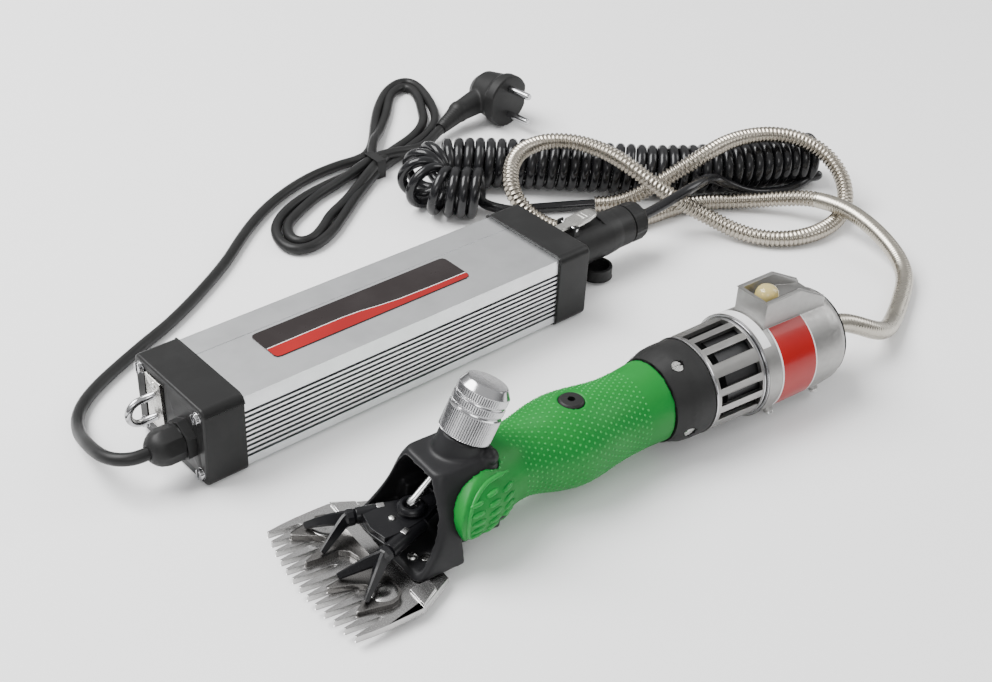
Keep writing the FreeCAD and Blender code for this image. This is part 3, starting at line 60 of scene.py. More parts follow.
MM = 0.001
BENCH = Matrix.Translation(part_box("gland_end_cap")[0]) @ Matrix.Scale(MM, 4)
TOOL_TURN = math.radians(5.2)
TOOL = BENCH @ Matrix.Translation((-2.7, -87.5, 0)) @ Matrix.Rotation(-TOOL_TURN, 4, "Z")
KNOB = TOOL @ Matrix.Translation((80.7, 0, 55.4)) @ Matrix.Rotation(math.radians(26.7), 4, "Y")
AXIS_HEIGHT = 28.0
ROTOR = TOOL @ Matrix.Translation((0, 0, AXIS_HEIGHT)) @ Matrix.Rotation(math.radians(90), 4, "Y")
PLUG = BENCH @ Matrix.Translation((375, 209, 18.5)) @ Matrix.Rotation(math.radians(-84), 4, "Z")
CORD_RADIUS, LEAD_RADIUS, COIL_RADIUS, CONDUIT_RADIUS = 3.3, 3.25, 16.5, 5.2

# The cords' routes in the bench frame, each from its exit onwards.
MAINS_ROUTE = [
    (-21, 17, 21.5), (-26, 17, 21.5), (-31.4, 19.4, 21.3), (-35.6, 24.2, 20.7), (-37.6, 31.4, 19.3),
    (-37.2, 40.5, 16.8), (-35.6, 51.5, 13.2), (-33, 63.5, 9), (-29, 75, 5.8), (-23, 86, 4),
    (-13.5, 95.5, 3.4), (-1, 103.5, 3.4), (15, 111.5, 3.4), (34, 120.5, 3.4), (54, 129, 3.4),
    (75, 140.5, 3.4), (96, 153.5, 3.4), (116, 167, 3.4), (133, 181, 3.4), (149.5, 193.5, 3.4),
    (169, 206, 3.4), (193, 217, 3.4), (216, 223.5, 3.4), (237, 224.5, 4.0), (252, 222.4, 4.2),
]
UPPER_LOBE = [(264, 226), (278, 239), (295, 260), (315, 282), (337, 300), (354, 305), (360, 296),
              (354, 276), (344, 254), (333, 238), (316, 226), (296, 218.5), (276, 211)]
LOWER_LOBE = [(236, 192), (222, 183), (204, 170), (184, 156), (166, 149), (154.5, 152.5), (152, 164),
              (158, 180), (171, 192), (190, 201.5), (212, 207), (234, 209.5)]
HANK_LEAD = [(272, 209.5, 9.6), (284, 208.4, 7.8), (296, 210.6, 5.2), (307, 214.8, 4.6), (316, 218.4, 6),
             (324.6, 221.1, 7.9)]
LEAD_ROUTE = [
    (324.5, 31.75, 23.5), (333.5, 31.5, 24.3), (343.5, 30.7, 26.2), (354.5, 30.0, 28.6), (366, 29.7, 30.4),
    (379, 32.6, 29.8), (392, 37, 26.6), (403.5, 39.6, 21.4), (413.5, 37.2, 15), (424, 33.6, 9),
    (435, 29.6, 5), (446.5, 25.4, 3.6), (457.5, 21, 3.9), (467.5, 19.4, 5.2), (477, 20.5, 7),
]
COIL_ROUTE = [
    (488, 26.5, 16.6), (472, 34.5, 16.6), (454, 41.5, 16.6), (434, 49.5, 16.6), (414, 59.5, 16.6),
    (395, 71.5, 16.6), (377.5, 86, 16.6), (361, 101.5, 16.6), (344, 116.5, 16.6), (327, 132, 16.6),
    (311, 145.6, 16.6), (296.5, 156.5, 16.6), (284, 166.4, 16.6), (273.4, 168.8, 16.6),
    (263.2, 165.8, 16.6), (255.9, 157.9, 16.6), (253.6, 147.2, 16.6), (257.2, 137, 16.6),
    (269, 127, 16.6), (282.5, 114.5, 16.6),
]
TAIL_ROUTE = [
    (289.5, 109.5, 4.2), (299, 107.0, 3.6), (309.5, 101.6, 3.6), (320, 95.6, 3.7), (329.6, 89.2, 4.4),
    (338, 82.5, 5.3),
]
CONDUIT_ROUTE = [
    (338, 82.5, 5.3), (345, 77, 6), (352.5, 71, 8.5), (360, 65, 13.5), (367, 58.5, 20.5),
    (374.5, 52.5, 28), (384, 47, 35), (398, 44.5, 40), (415, 45, 41.6), (432, 43, 41.8),
    (449, 36.5, 41.2), (464, 25.5, 38.6), (474.5, 11, 31.5), (476.5, -4.5, 21), (468.5, -17, 11.5),
    (455, -24.4, 6.2), (439, -28, 5.4), (421, -28, 5.4), (404, -22.5, 5.4), (391, -11, 5.5),
    (383, 4, 6.8), (377.5, 18, 10.5), (369, 29.5, 16), (359, 39.5, 24), (351, 50.5, 32),
    (346, 64, 38.5), (343.5, 80, 41.4), (340, 95, 41.8), (332.5, 108, 41.9), (320, 115.5, 41.8),
    (305.5, 116, 41.6), (292, 111, 41.1), (280, 102.2, 38), (272.8, 91, 31), (274.5, 79, 22.4),
    (282.5, 70.5, 14.8), (294, 65, 9), (308, 60.5, 6), (323, 56.5, 5.4), (339, 52.5, 5.4),
    (355, 50, 5.4), (371, 49, 5.4), (386.5, 46.4, 5.4), (400.5, 39.8, 5.5), (413, 30, 6),
    (424.5, 19, 8), (434, 6.5, 11.6), (440.5, -7.5, 16.0), (443, -22, 18.2), (444.5, -36.5, 18.2),
    (443.5, -51, 16.6), (441.6, -64.5, 13.6), (438, -77.5, 10.2), (431.6, -88.8, 7.4),
    (422, -97.6, 5.8), (409.5, -104.8, 5.4), (396.5, -111.6, 5.4), (383, -118, 5.8),
    (369.5, -123.8, 8), (357, -127.2, 12.4), (346, -127.4, 18), (336, -124.2, 23.4),
    (326.5, -119.4, 27.1), (316.5, -116.55, 28),
]


# ---------------------------------------------------------------- placing and making meshes

def at(place, x, y, z):
    """A point of a millimetre frame, in metres in the row frame."""
    return place @ Vector((x, y, z))


def direction(place, x, y, z):
    return (place.to_3x3() @ Vector((x, y, z))).normalized()


def linked(name, data):
    piece = bpy.data.objects.new(name, data)
    bpy.context.scene.collection.objects.link(piece)
    return piece


def settle(piece, body, material, replaced=()):
    """Give a finished piece its material, its body and what it stands for."""
    piece.data.materials.clear()
    piece.data.materials.append(material)
    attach(piece, body)
    if replaced:
        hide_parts(*replaced)
    return piece


def smoothed(piece, crease_angle=None):
    """Shade a mesh piece smoothly, except across edges sharper than crease_angle in degrees."""
    for face in piece.data.polygons:
        face.use_smooth = True
    if crease_angle:
        piece.data.set_sharp_from_angle(angle=math.radians(crease_angle))
    return piece


def mesh_piece(name, points, faces, smooth=True, crease_angle=None):
    """A mesh from points in metres, with its faces turned outwards."""
    data = bpy.data.meshes.new(name)
    data.from_pydata([tuple(p) for p in points], [], faces)
    data.validate()
    tidy = bmesh.new()
    tidy.from_mesh(data)
    bmesh.ops.recalc_face_normals(tidy, faces=tidy.faces)
    tidy.to_mesh(data)
    tidy.free()
    piece = linked(name, data)
    return smoothed(piece, crease_angle) if smooth else piece


def baked(piece):
    """Apply a piece's modifiers to its mesh."""
    shown = piece.evaluated_get(bpy.context.evaluated_depsgraph_get())
    data = bpy.data.meshes.new_from_object(shown)
    piece.modifiers.clear()
    piece.data = data
    return piece


def copied(node, name):
    """A plain copy of a CAD node's mesh, with its split corners joined again."""
    source = nodes[node]
    points = [source.matrix_world @ v.co for v in source.data.vertices]
    piece = mesh_piece(name, points, [tuple(f.vertices) for f in source.data.polygons])
    tidy = bmesh.new()
    tidy.from_mesh(piece.data)
    bmesh.ops.remove_doubles(tidy, verts=tidy.verts, dist=0.000002)
    tidy.to_mesh(piece.data)
    tidy.free()
    return piece


def softened(node, name, voxel, passes, extras=()):
    """A copy of a CAD node with rounded edges, as a casting or a moulding has them."""
    piece = copied(node, name)
    if extras:
        piece = joined(name, [piece, *extras])
    remesh = piece.modifiers.new("remesh", "REMESH")
    remesh.mode = "VOXEL"
    remesh.voxel_size = voxel * MM
    smooth = piece.modifiers.new("smooth", "SMOOTH")
    smooth.factor = 0.5
    smooth.iterations = passes
    return smoothed(baked(piece))


def is_sharp(edge):
    return len(edge.link_faces) == 2 and edge.calc_face_angle(0.0) > math.radians(28)


def crisp(node, name, width, segments=2, chosen=is_sharp):
    """A copy of a CAD node with a small round on each of its chosen edges."""
    piece = copied(node, name)
    work = bmesh.new()
    work.from_mesh(piece.data)
    bmesh.ops.dissolve_limit(work, angle_limit=math.radians(1.0), verts=work.verts, edges=work.edges)
    edges = [e for e in work.edges if chosen(e)]
    bmesh.ops.bevel(work, geom=edges, offset=width * MM, offset_type="OFFSET", segments=segments,
                    profile=0.5, affect="EDGES", clamp_overlap=False)
    bmesh.ops.triangulate(work, faces=[f for f in work.faces if len(f.verts) > 4])
    work.to_mesh(piece.data)
    work.free()
    smoothed(piece, 34)
    even = piece.modifiers.new("even", "WEIGHTED_NORMAL")
    even.keep_sharp = True
    return baked(piece)


def rings_to_faces(rings, around, closed_ends=True):
    """The faces between rings of points, and over the first and last ring."""
    faces = []
    for ring in range(rings - 1):
        for k in range(around):
            a, b = ring * around + k, ring * around + (k + 1) % around
            faces.append((a, b, b + around, a + around))
    if closed_ends:
        faces.append(tuple(reversed(range(around))))
        faces.append(tuple(range((rings - 1) * around, rings * around)))
    return faces


def lathe(name, profile, place, around=64, ripple=None, crease_angle=30, closed_ends=True):
    """A turned piece about the frame's Z axis: profile is (radius, height). ripple moves the radius."""
    points = []
    for radius, height in profile:
        for k in range(around):
            angle = 2 * math.pi * k / around
            r = radius + (ripple(angle, height) if ripple else 0.0)
            points.append(at(place, r * math.cos(angle), r * math.sin(angle), height))
    faces = rings_to_faces(len(profile), around, closed_ends)
    return mesh_piece(name, points, faces, crease_angle=crease_angle)


def rounded_block(name, low, high, place, radius):
    """A box between two corners with rounded edges."""
    corners = itertools.product(*zip(low, high))
    faces = [(0, 1, 3, 2), (4, 6, 7, 5), (0, 4, 5, 1), (2, 3, 7, 6), (0, 2, 6, 4), (1, 5, 7, 3)]
    piece = mesh_piece(name, [at(place, *c) for c in corners], faces)
    bevel = piece.modifiers.new("bevel", "BEVEL")
    bevel.width = radius * MM
    bevel.segments = 3
    return smoothed(baked(piece), 40)


def joined(name, pieces):
    """Several mesh pieces as one."""
    collected = bmesh.new()
    for piece in pieces:
        collected.from_mesh(piece.data)
    data = bpy.data.meshes.new(name)
    collected.to_mesh(data)
    collected.free()
    for piece in pieces:
        bpy.data.objects.remove(piece)
    return linked(name, data)


def nurbs(name, points, radius=0.0, resolution=8):
    """A smooth line whose control points are given in metres, as a round cord where it has a radius."""
    data = bpy.data.curves.new(name, "CURVE")
    data.dimensions = "3D"
    data.resolution_u = resolution
    spline = data.splines.new("NURBS")
    spline.points.add(len(points) - 1)
    for point, place in zip(spline.points, points):
        point.co = (*place, 1.0)
    spline.order_u = 3
    spline.use_endpoint_u = True
    if radius:
        data.bevel_depth = radius * MM
        data.bevel_resolution = 5
        data.use_fill_caps = True
    return linked(name, data)


def line_of(points, resolution=12):
    """The points that a smooth line passes through, read back from its own spline."""
    guide = nurbs("guide", points, resolution=resolution)
    bpy.context.view_layer.update()
    data = bpy.data.meshes.new_from_object(guide)
    line = [v.co.copy() for v in data.vertices]
    bpy.data.objects.remove(guide)
    return line


def length_of(line):
    return sum((b - a).length for a, b in zip(line, line[1:]))


def spaced(line, step):
    """Points an even step apart along a line, with the way that the line runs at each."""
    out = []
    carried = 0.0
    for a, b in zip(line, line[1:]):
        run = (b - a).length
        if run < 1e-9:
            continue
        heading = (b - a) / run
        while carried <= run:
            out.append((a + heading * carried, heading))
            carried += step
        carried -= run
    return out


def skin(name, stations, radius_at, around=20, closed_ends=True):
    """A tube along stations of (point, heading). radius_at gives its radius at a station and an angle."""
    points = []
    side = None
    for index, (place, heading) in enumerate(stations):
        if side is None:
            side = heading.cross(Vector((0, 0, 1))).normalized()
        side = (side - heading * side.dot(heading)).normalized()
        up = side.cross(heading)
        for k in range(around):
            angle = 2 * math.pi * k / around
            r = radius_at(index, angle) * MM
            points.append(place + side * (r * math.cos(angle)) + up * (r * math.sin(angle)))
    return mesh_piece(name, points, rings_to_faces(len(stations), around, closed_ends))


# ---------------------------------------------------------------- materials

class Look:
    """A procedural material whose fixed values sit on its shader's own sockets."""

    def __init__(self, name, colour, roughness=0.5, metallic=0.0, coat=0.0, specular=None):
        self.name = name
        self.material = bpy.data.materials.new(name)
        self.material.use_nodes = True
        self.tree = self.material.node_tree
        self.shader = self.tree.nodes["Principled BSDF"]
        self.colour = (*colour, 1.0)
        self.shader.inputs["Base Color"].default_value = self.colour
        self.shader.inputs["Roughness"].default_value = roughness
        self.shader.inputs["Metallic"].default_value = metallic
        self.shader.inputs["Coat Weight"].default_value = coat
        if specular is not None:
            self.shader.inputs["Specular IOR Level"].default_value = specular
        self.bump_from = None

    def node(self, kind, **settings):
        made = self.tree.nodes.new(kind)
        for key, value in settings.items():
            setattr(made, key, value)
        return made

    def link(self, source, target):
        self.tree.links.new(source, target)

    def coordinates(self, stretch=(1, 1, 1), turn=0.0):
        where = self.node("ShaderNodeTexCoord")
        mapping = self.node("ShaderNodeMapping")
        mapping.inputs["Scale"].default_value = stretch
        mapping.inputs["Rotation"].default_value = (0, 0, turn)
        self.link(where.outputs["Object"], mapping.inputs["Vector"])
        return mapping.outputs["Vector"]

    def noise(self, scale, detail=4, stretch=(1, 1, 1), turn=0.0):
        texture = self.node("ShaderNodeTexNoise")
        texture.inputs["Scale"].default_value = scale
        texture.inputs["Detail"].default_value = detail
        texture.inputs["Roughness"].default_value = 0.55
        self.link(self.coordinates(stretch, turn), texture.inputs["Vector"])
        return texture.outputs["Fac"]

    def ranged(self, source, low, high, start=0.3, end=0.7):
        fit = self.node("ShaderNodeMapRange")
        fit.inputs["From Min"].default_value = start
        fit.inputs["From Max"].default_value = end
        fit.inputs["To Min"].default_value = low
        fit.inputs["To Max"].default_value = high
        self.link(source, fit.inputs["Value"])
        return fit.outputs["Result"]

    def mottled(self, other, source, start=0.35, end=0.7, amount=1.0):
        """Base colour drifts towards another colour where the source is high."""
        mix = self.node("ShaderNodeMix", data_type="RGBA")
        self.link(self.ranged(source, 0.0, amount, start, end), mix.inputs["Factor"])
        mix.inputs["A"].default_value = self.colour
        mix.inputs["B"].default_value = (*other, 1.0)
        previous = self.shader.inputs["Base Color"]
        if previous.is_linked:
            self.link(previous.links[0].from_socket, mix.inputs["A"])
        self.link(mix.outputs["Result"], previous)
        return self

    def rough(self, source, low, high, start=0.3, end=0.7):
        self.link(self.ranged(source, low, high, start, end), self.shader.inputs["Roughness"])
        return self

    def bump(self, source, strength, distance):
        """Fine relief, distance in millimetres. Further calls add to the first."""
        relief = self.node("ShaderNodeBump")
        relief.inputs["Strength"].default_value = strength
        relief.inputs["Distance"].default_value = distance * MM
        self.link(source, relief.inputs["Height"])
        if self.bump_from:
            self.link(self.bump_from, relief.inputs["Normal"])
        self.bump_from = relief.outputs["Normal"]
        self.link(self.bump_from, self.shader.inputs["Normal"])
        return self

    def worn(self, colour, start, end, amount):
        """Edges rubbed to another colour."""
        geometry = self.node("ShaderNodeNewGeometry")
        return self.mottled(colour, geometry.outputs["Pointiness"], start, end, amount)


def metal(name, colour, roughness, grain=(1, 1, 1), turn=0.0, fleck=0.06, depth=0.01, scale=900):
    """A bare metal with fine grain stretched along one way and faint darker clouds."""
    look = Look(name, colour, roughness, metallic=1.0)
    fine = look.noise(scale, 3, grain, turn)
    look.rough(fine, roughness - fleck, roughness + fleck)
    look.bump(fine, 0.35, depth)
    look.mottled([c * 0.82 for c in colour], look.noise(60, 3, turn=turn), 0.4, 0.75, 0.6)
    return look


def plastic(name, colour, roughness, grain=700, depth=0.03, coat=0.0):
    """A moulded or painted surface with a fine pebble and faint paler clouds."""
    look = Look(name, colour, roughness, coat=coat, specular=0.22)
    fine = look.noise(grain, 3)
    look.rough(look.noise(40, 4), roughness - 0.06, roughness + 0.08)
    look.bump(fine, 0.4, depth)
    pale = [c * 1.25 + 0.0054 for c in colour]
    look.mottled(pale, look.noise(55, 4), 0.45, 0.8, 0.7)
    return look


def film(name, colour, other, roughness, scale, coat=0.0, specular=None):
    """A printed or painted film that drifts a little between two shades."""
    look = Look(name, colour, roughness, coat=coat, specular=specular)
    look.mottled(other, look.noise(scale, 3), 0.4, 0.7, 0.7)
    look.bump(look.noise(300, 2), 0.2, 0.01)
    return look


def build_materials():
    casting = plastic("black_casting", (0.012, 0.012, 0.013), 0.42, 520, 0.05)
    casting.worn((0.10, 0.10, 0.10), 0.53, 0.60, 0.35)
    looks = [
        casting,
        metal("comb_steel", (0.46, 0.455, 0.45), 0.24, (1, 12, 1), TOOL_TURN, 0.07, 0.012),
        metal("cutter_steel", (0.16, 0.155, 0.15), 0.30, (12, 1, 1), TOOL_TURN, 0.08, 0.015),
        metal("chrome_trim", (0.50, 0.50, 0.51), 0.17, fleck=0.04, depth=0.004),
        plastic("black_oxide", (0.005, 0.005, 0.006), 0.28, 500, 0.02, coat=0.08),
        metal("zinc_screws", (0.70, 0.70, 0.68), 0.25, fleck=0.08),
        metal("hard_steel", (0.60, 0.60, 0.60), 0.25, (1, 14, 1), TOOL_TURN),
        metal("gear_steel", (0.50, 0.50, 0.49), 0.34),
        metal("rotor_iron", (0.07, 0.07, 0.072), 0.5, (60, 1, 1), TOOL_TURN, depth=0.08, scale=300),
        metal("commutator_copper", (0.78, 0.42, 0.22), 0.28),
        plastic("fan_plastic", (0.015, 0.015, 0.015), 0.5),
        plastic("brush_carbon", (0.02, 0.02, 0.02), 0.65),
        plastic("collar_black", (0.014, 0.014, 0.014), 0.5, 420, 0.06),
        metal("cage_silver", (0.37, 0.365, 0.355), 0.36, fleck=0.07, depth=0.05, scale=520),
        metal("housing_silver", (0.36, 0.355, 0.345), 0.42, fleck=0.07, depth=0.07, scale=420),
        plastic("switch_black", (0.02, 0.02, 0.02), 0.45),
        plastic("button_amber", (0.62, 0.60, 0.38), 0.22, 300, 0.01),
        plastic("gasket_black", (0.010, 0.010, 0.010), 0.6, 380, 0.06),
        plastic("label_film", (0.52, 0.015, 0.012), 0.28, 200, 0.01),
        plastic("grip_green", (0.004, 0.17, 0.022), 0.46, 800, 0.03),
        metal("case_aluminium", (0.80, 0.81, 0.82), 0.34, (1, 60, 60), 0.0, 0.05, 0.015, 500),
        plastic("cap_black", (0.012, 0.012, 0.012), 0.40, 350, 0.05),
        plastic("board_green", (0.02, 0.14, 0.04), 0.4),
        plastic("label_black", (0.018, 0.014, 0.014), 0.30, 200, 0.01),
        plastic("gland_black", (0.012, 0.012, 0.012), 0.42, 400, 0.04),
        plastic("plug_black", (0.012, 0.012, 0.012), 0.46, 380, 0.06),
        metal("latch_metal", (0.58, 0.57, 0.54), 0.30, fleck=0.08, depth=0.03, scale=500),
        plastic("cord_black", (0.013, 0.013, 0.013), 0.40, 300, 0.04),
        plastic("coil_black", (0.008, 0.008, 0.009), 0.24, 250, 0.02, coat=0.3),
        metal("conduit_metal", (0.40, 0.365, 0.31), 0.26, fleck=0.04, depth=0.003, scale=200),
    ]
    return {look.name: look.material for look in looks}


MATERIALS = build_materials()


def settle_in(piece, body, slot, replaced=()):
    """Settle a piece in a slot's own material."""
    return settle(piece, body, MATERIALS[slot], replaced)


def settle_node(piece, node):
    """A detailed piece that stands for one CAD node, on its body and in its slot."""
    return settle_in(piece, node_body[node], node_slot[node], (node,))


def settle_crisp(node, name, width, *details):
    """Settle a copy of a CAD node with small rounds on its edges."""
    return settle_node(crisp(node, name, width, *details), node)


def paint_cad():
    for name, item in nodes.items():
        item.data.materials.clear()
        item.data.materials.append(MATERIALS[node_slot[name]])


# ---------------------------------------------------------------- stage, lights and camera

def area_light(name, place, target, width, height, power):
    data = bpy.data.lights.new(name, "AREA")
    data.shape = "RECTANGLE"
    data.size, data.size_y, data.energy = width, height, power
    light = linked(name, data)
    light.location = place
    light.rotation_euler = (Vector(target) - Vector(place)).to_track_quat("-Z", "Y").to_euler()


def build_stage():
    corners = [(-4, -4, 0), (4, -4, 0), (4, 4, 0), (-4, 4, 0)]
    floor = mesh_piece("floor", corners, [(0, 1, 2, 3)], smooth=False)
    look = Look("floor_paper", (0.93, 0.93, 0.93), 0.7, specular=0.2)
    look.mottled((0.915, 0.915, 0.92), look.noise(3, 2), 0.4, 0.7, 0.5)
    floor.data.materials.append(look.material)
    floor.location = (0, 0, -0.0003)
    world = bpy.data.worlds.new("studio")
    world.use_nodes = True
    tree = world.node_tree
    where = tree.nodes.new("ShaderNodeTexCoord")
    turned = tree.nodes.new("ShaderNodeMapping")
    turned.inputs["Rotation"].default_value = (0, math.radians(90), 0)
    gradient = tree.nodes.new("ShaderNodeTexGradient")
    ramp = tree.nodes.new("ShaderNodeValToRGB")
    ramp.color_ramp.elements[0].position = 0.02
    ramp.color_ramp.elements[0].color = (0.16, 0.16, 0.165, 1)
    ramp.color_ramp.elements[1].position = 0.55
    ramp.color_ramp.elements[1].color = (1, 1, 1, 1)
    tree.links.new(where.outputs["Generated"], turned.inputs["Vector"])
    tree.links.new(turned.outputs["Vector"], gradient.inputs["Vector"])
    tree.links.new(gradient.outputs["Fac"], ramp.inputs["Fac"])
    tree.links.new(ramp.outputs["Color"], tree.nodes["Background"].inputs["Color"])
    tree.nodes["Background"].inputs["Strength"].default_value = 0.75
    bpy.context.scene.world = world
    area_light("key", (-0.7, 0.9, 1.7), (0.05, 0.05, 0), 1.5, 1.3, 90)
    area_light("front", (-0.9, -1.3, 1.1), (0.0, 0.0, 0), 1.0, 0.5, 8)
    area_light("side", (1.5, -0.5, 0.9), (0.1, 0.0, 0), 0.7, 1.1, 10)


def build_camera():
    """A long lens from the comb end, tipped 55.3 degrees up from straight down."""
    data = bpy.data.cameras.new("camera")
    data.lens = 52.35
    data.sensor_width = 36.0
    data.clip_start = 0.01
    camera = linked("camera", data)
    turn = Euler([math.radians(angle) for angle in (55.330, -2.454, -41.012)])
    camera.matrix_world = Matrix.Translation(at(BENCH, -257.5, -475.8, 456.9)) @ turn.to_matrix().to_4x4()
    bpy.context.scene.camera = camera


# ---------------------------------------------------------------- shared shapes

def loft(name, stations, place, power=3.0, around=24, crease_angle=50):
    """A body through upright sections: (x, y, z, half width, half height), squared off by power."""
    points = []
    for x, y, z, half_width, half_height in stations:
        for k in range(around):
            angle = 2 * math.pi * (k + 0.5) / around
            c, n = math.cos(angle), math.sin(angle)
            across = math.copysign(abs(c) ** (2 / power), c) * half_width
            up = math.copysign(abs(n) ** (2 / power), n) * half_height
            points.append(at(place, x, y + across, z + up))
    return mesh_piece(name, points, rings_to_faces(len(stations), around), crease_angle=crease_angle)


def bar(name, place, start, end, profile, around=28, ripple=None, crease_angle=30):
    """A turned piece along a line between two points: profile is (radius, share of the way)."""
    a, b = Vector(start), Vector(end)
    turn = (b - a).to_track_quat("Z", "Y").to_matrix().to_4x4()
    length = (b - a).length
    own = place @ Matrix.Translation(a) @ turn
    return lathe(name, [(r, share * length) for r, share in profile], own, around, ripple, crease_angle)


def dome(name, place, centre, toward, radius, height, slot=True):
    """A low round screw head, with a driving slot sunk in it."""
    c = Vector(centre)
    shares = [(1.0, -0.02), (1.0, 0.35), (0.92, 0.62), (0.72, 0.85), (0.42, 0.97)]
    rings = [(radius * share, level) for share, level in shares] + [(0.05, 1.0)]
    head = bar(name, place, c, c + Vector(toward).normalized() * height, rings)
    if slot:
        tidy = bmesh.new()
        tidy.from_mesh(head.data)
        line = direction(place, *Vector(toward).orthogonal())
        middle, out = at(place, *c), direction(place, *toward)
        for v in tidy.verts:
            reach = v.co - middle
            flat = reach - out * reach.dot(out)
            in_slot = abs(flat.dot(line)) < (0.16 * radius + 0.2) * MM
            if in_slot and reach.dot(out) > height * MM * 0.6:
                v.co -= out * height * 0.35 * MM
        tidy.to_mesh(head.data)
        tidy.free()
    return head


def arc_sheet(name, x_low, x_high, start, end, inner, outer):
    """Part of a thin ring about the handpiece axis, from the top round to the near side."""
    points, steps = [], 40
    for k in range(steps + 1):
        angle = math.radians(start + (end - start) * k / steps)
        for x, r in ((x_low, inner), (x_low, outer), (x_high, outer), (x_high, inner)):
            points.append(at(TOOL, x, -r * math.sin(angle), AXIS_HEIGHT + r * math.cos(angle)))
    return mesh_piece(name, points, rings_to_faces(steps + 1, 4), crease_angle=30)


def raised_sheet(name, outline, low, high, place):
    """A thin flat sheet with straight walls."""
    count = len(outline)
    points = [at(place, x, y, low) for x, y in outline] + [at(place, x, y, high) for x, y in outline]
    return mesh_piece(name, points, rings_to_faces(2, count), smooth=False)


# ---------------------------------------------------------------- handpiece: head

def build_head():
    lug = bar("lug", TOOL, (84, -10, 47), (88, -15.5, 50.5), [(3.4, 0), (4.4, 0.3), (4.2, 0.7), (2.6, 1.0)])
    casting = softened("head_housing", "head_casting", 0.8, 16, [lug])
    settle_node(casting, "head_housing")
    settle_crisp("comb", "comb_ground", 0.28)
    settle_crisp("cutter", "cutter_ground", 0.45)
    settle_crisp("fork_yoke", "yoke_forged", 0.5)
    settle_crisp("comb_screws", "comb_screw_heads", 0.25)
    ring = [(1.95, 0), (5.9, 0), (6.3, 0.5), (6.0, 1.0), (2.3, 1.0), (1.95, 0.6)]
    islands = [bar("island", TOOL, (22.5, y, 9.55), (22.5, y, 9.85), ring, 40) for y in (-25, 25)]
    settle_in(joined("cutter_islands", islands), "swing_fork", "comb_steel")
    disc = [(0.1, 0), (1.98, 0), (1.98, 0.9), (0.1, 0.8)]
    holes = [bar("hole", TOOL, (22.5, y, 9.3), (22.5, y, 9.78), disc, 24) for y in (-25, 25)]
    settle_in(joined("cutter_hole_shadows", holes), "swing_fork", "gasket_black")
    rivet = dome("yoke_rivet", TOOL, (42.7, 0, 23.45), (0, 0, 1), 1.7, 0.9, False)
    settle_in(rivet, "swing_fork", "zinc_screws")
    floor_screw = dome("floor_screw", TOOL, (44.8, -13.8, 9.6), (0, 0, 1), 2.6, 1.6)
    settle_in(floor_screw, "shears", "zinc_screws")


def toe(name, side, tip, knee):
    """One claw of a pressing foot: a ridged, arched prong that ends in a blunt point."""
    path = [(31, side * 14.4, 19.4), (28.2, side * 15.3, 19.6), knee, tip]
    line = spaced(line_of([at(TOOL, *p) for p in path], 14), 0.8 * MM)
    last = len(line) - 1
    profile = [(-0.72, -0.9), (0.72, -0.9), (1.0, -0.2), (0.22, 1.15), (-0.22, 1.15), (-1.0, -0.2)]
    points = []
    for index, (place, heading) in enumerate(line):
        share = index / last
        half = (3.5 - 2.15 * share) * MM
        tall = (3.4 - 1.9 * share) * MM
        across = heading.cross(Vector((0, 0, 1))).normalized()
        up = across.cross(heading)
        points += [place + across * (a * half) + up * (b * tall) for a, b in profile]
    return mesh_piece(name, points, rings_to_faces(len(line), len(profile)), crease_angle=28)


def build_feet():
    """Two forked feet, each with two claws, a round hub, a plain round stem and a bright flat on it."""
    turned = [(2.4, 0), (3.7, 0.06), (3.7, 0.2), (3.2, 0.28), (4.1, 0.42), (4.2, 0.72), (3.2, 0.92),
              (1.6, 1.0)]
    feet = (("chicken_foot_right", -1, (9.3, -7.6, 11.2), (11.6, -27.6, 11.2)),
            ("chicken_foot_left", 1, (11.2, 8.8, 11.2), (14.2, 29.0, 11.2)))
    for node, side, inner_tip, outer_tip in feet:
        claws = [toe("claw", side, inner_tip, (21.0, side * 12.4, 17.3)),
                 toe("claw", side, outer_tip, (21.5, side * 21.0, 17.2))]
        hub = bar("hub", TOOL, (34.5, side * 13.15, 19.7), (26.2, side * 15.95, 19.2), turned, 10)
        stem = bar("stem", TOOL, (50, side * 7.95, 19.6), (32, side * 14.0, 19.6), [(2.35, 0), (2.35, 1.0)])
        settle_node(joined(f"{node}_forged", [*claws, hub, stem]), node)
        on_stem = TOOL @ Matrix.Translation((43.0, side * 10.3, 19.6))
        on_stem @= Matrix.Rotation(math.radians(-18.6 * side), 4, "Z")
        flat = rounded_block(f"{node}_flat", (-1.9, -1.5, 3.35), (1.9, 1.5, 4.25), on_stem, 0.3)
        settle_in(flat, "swing_fork", "comb_steel")


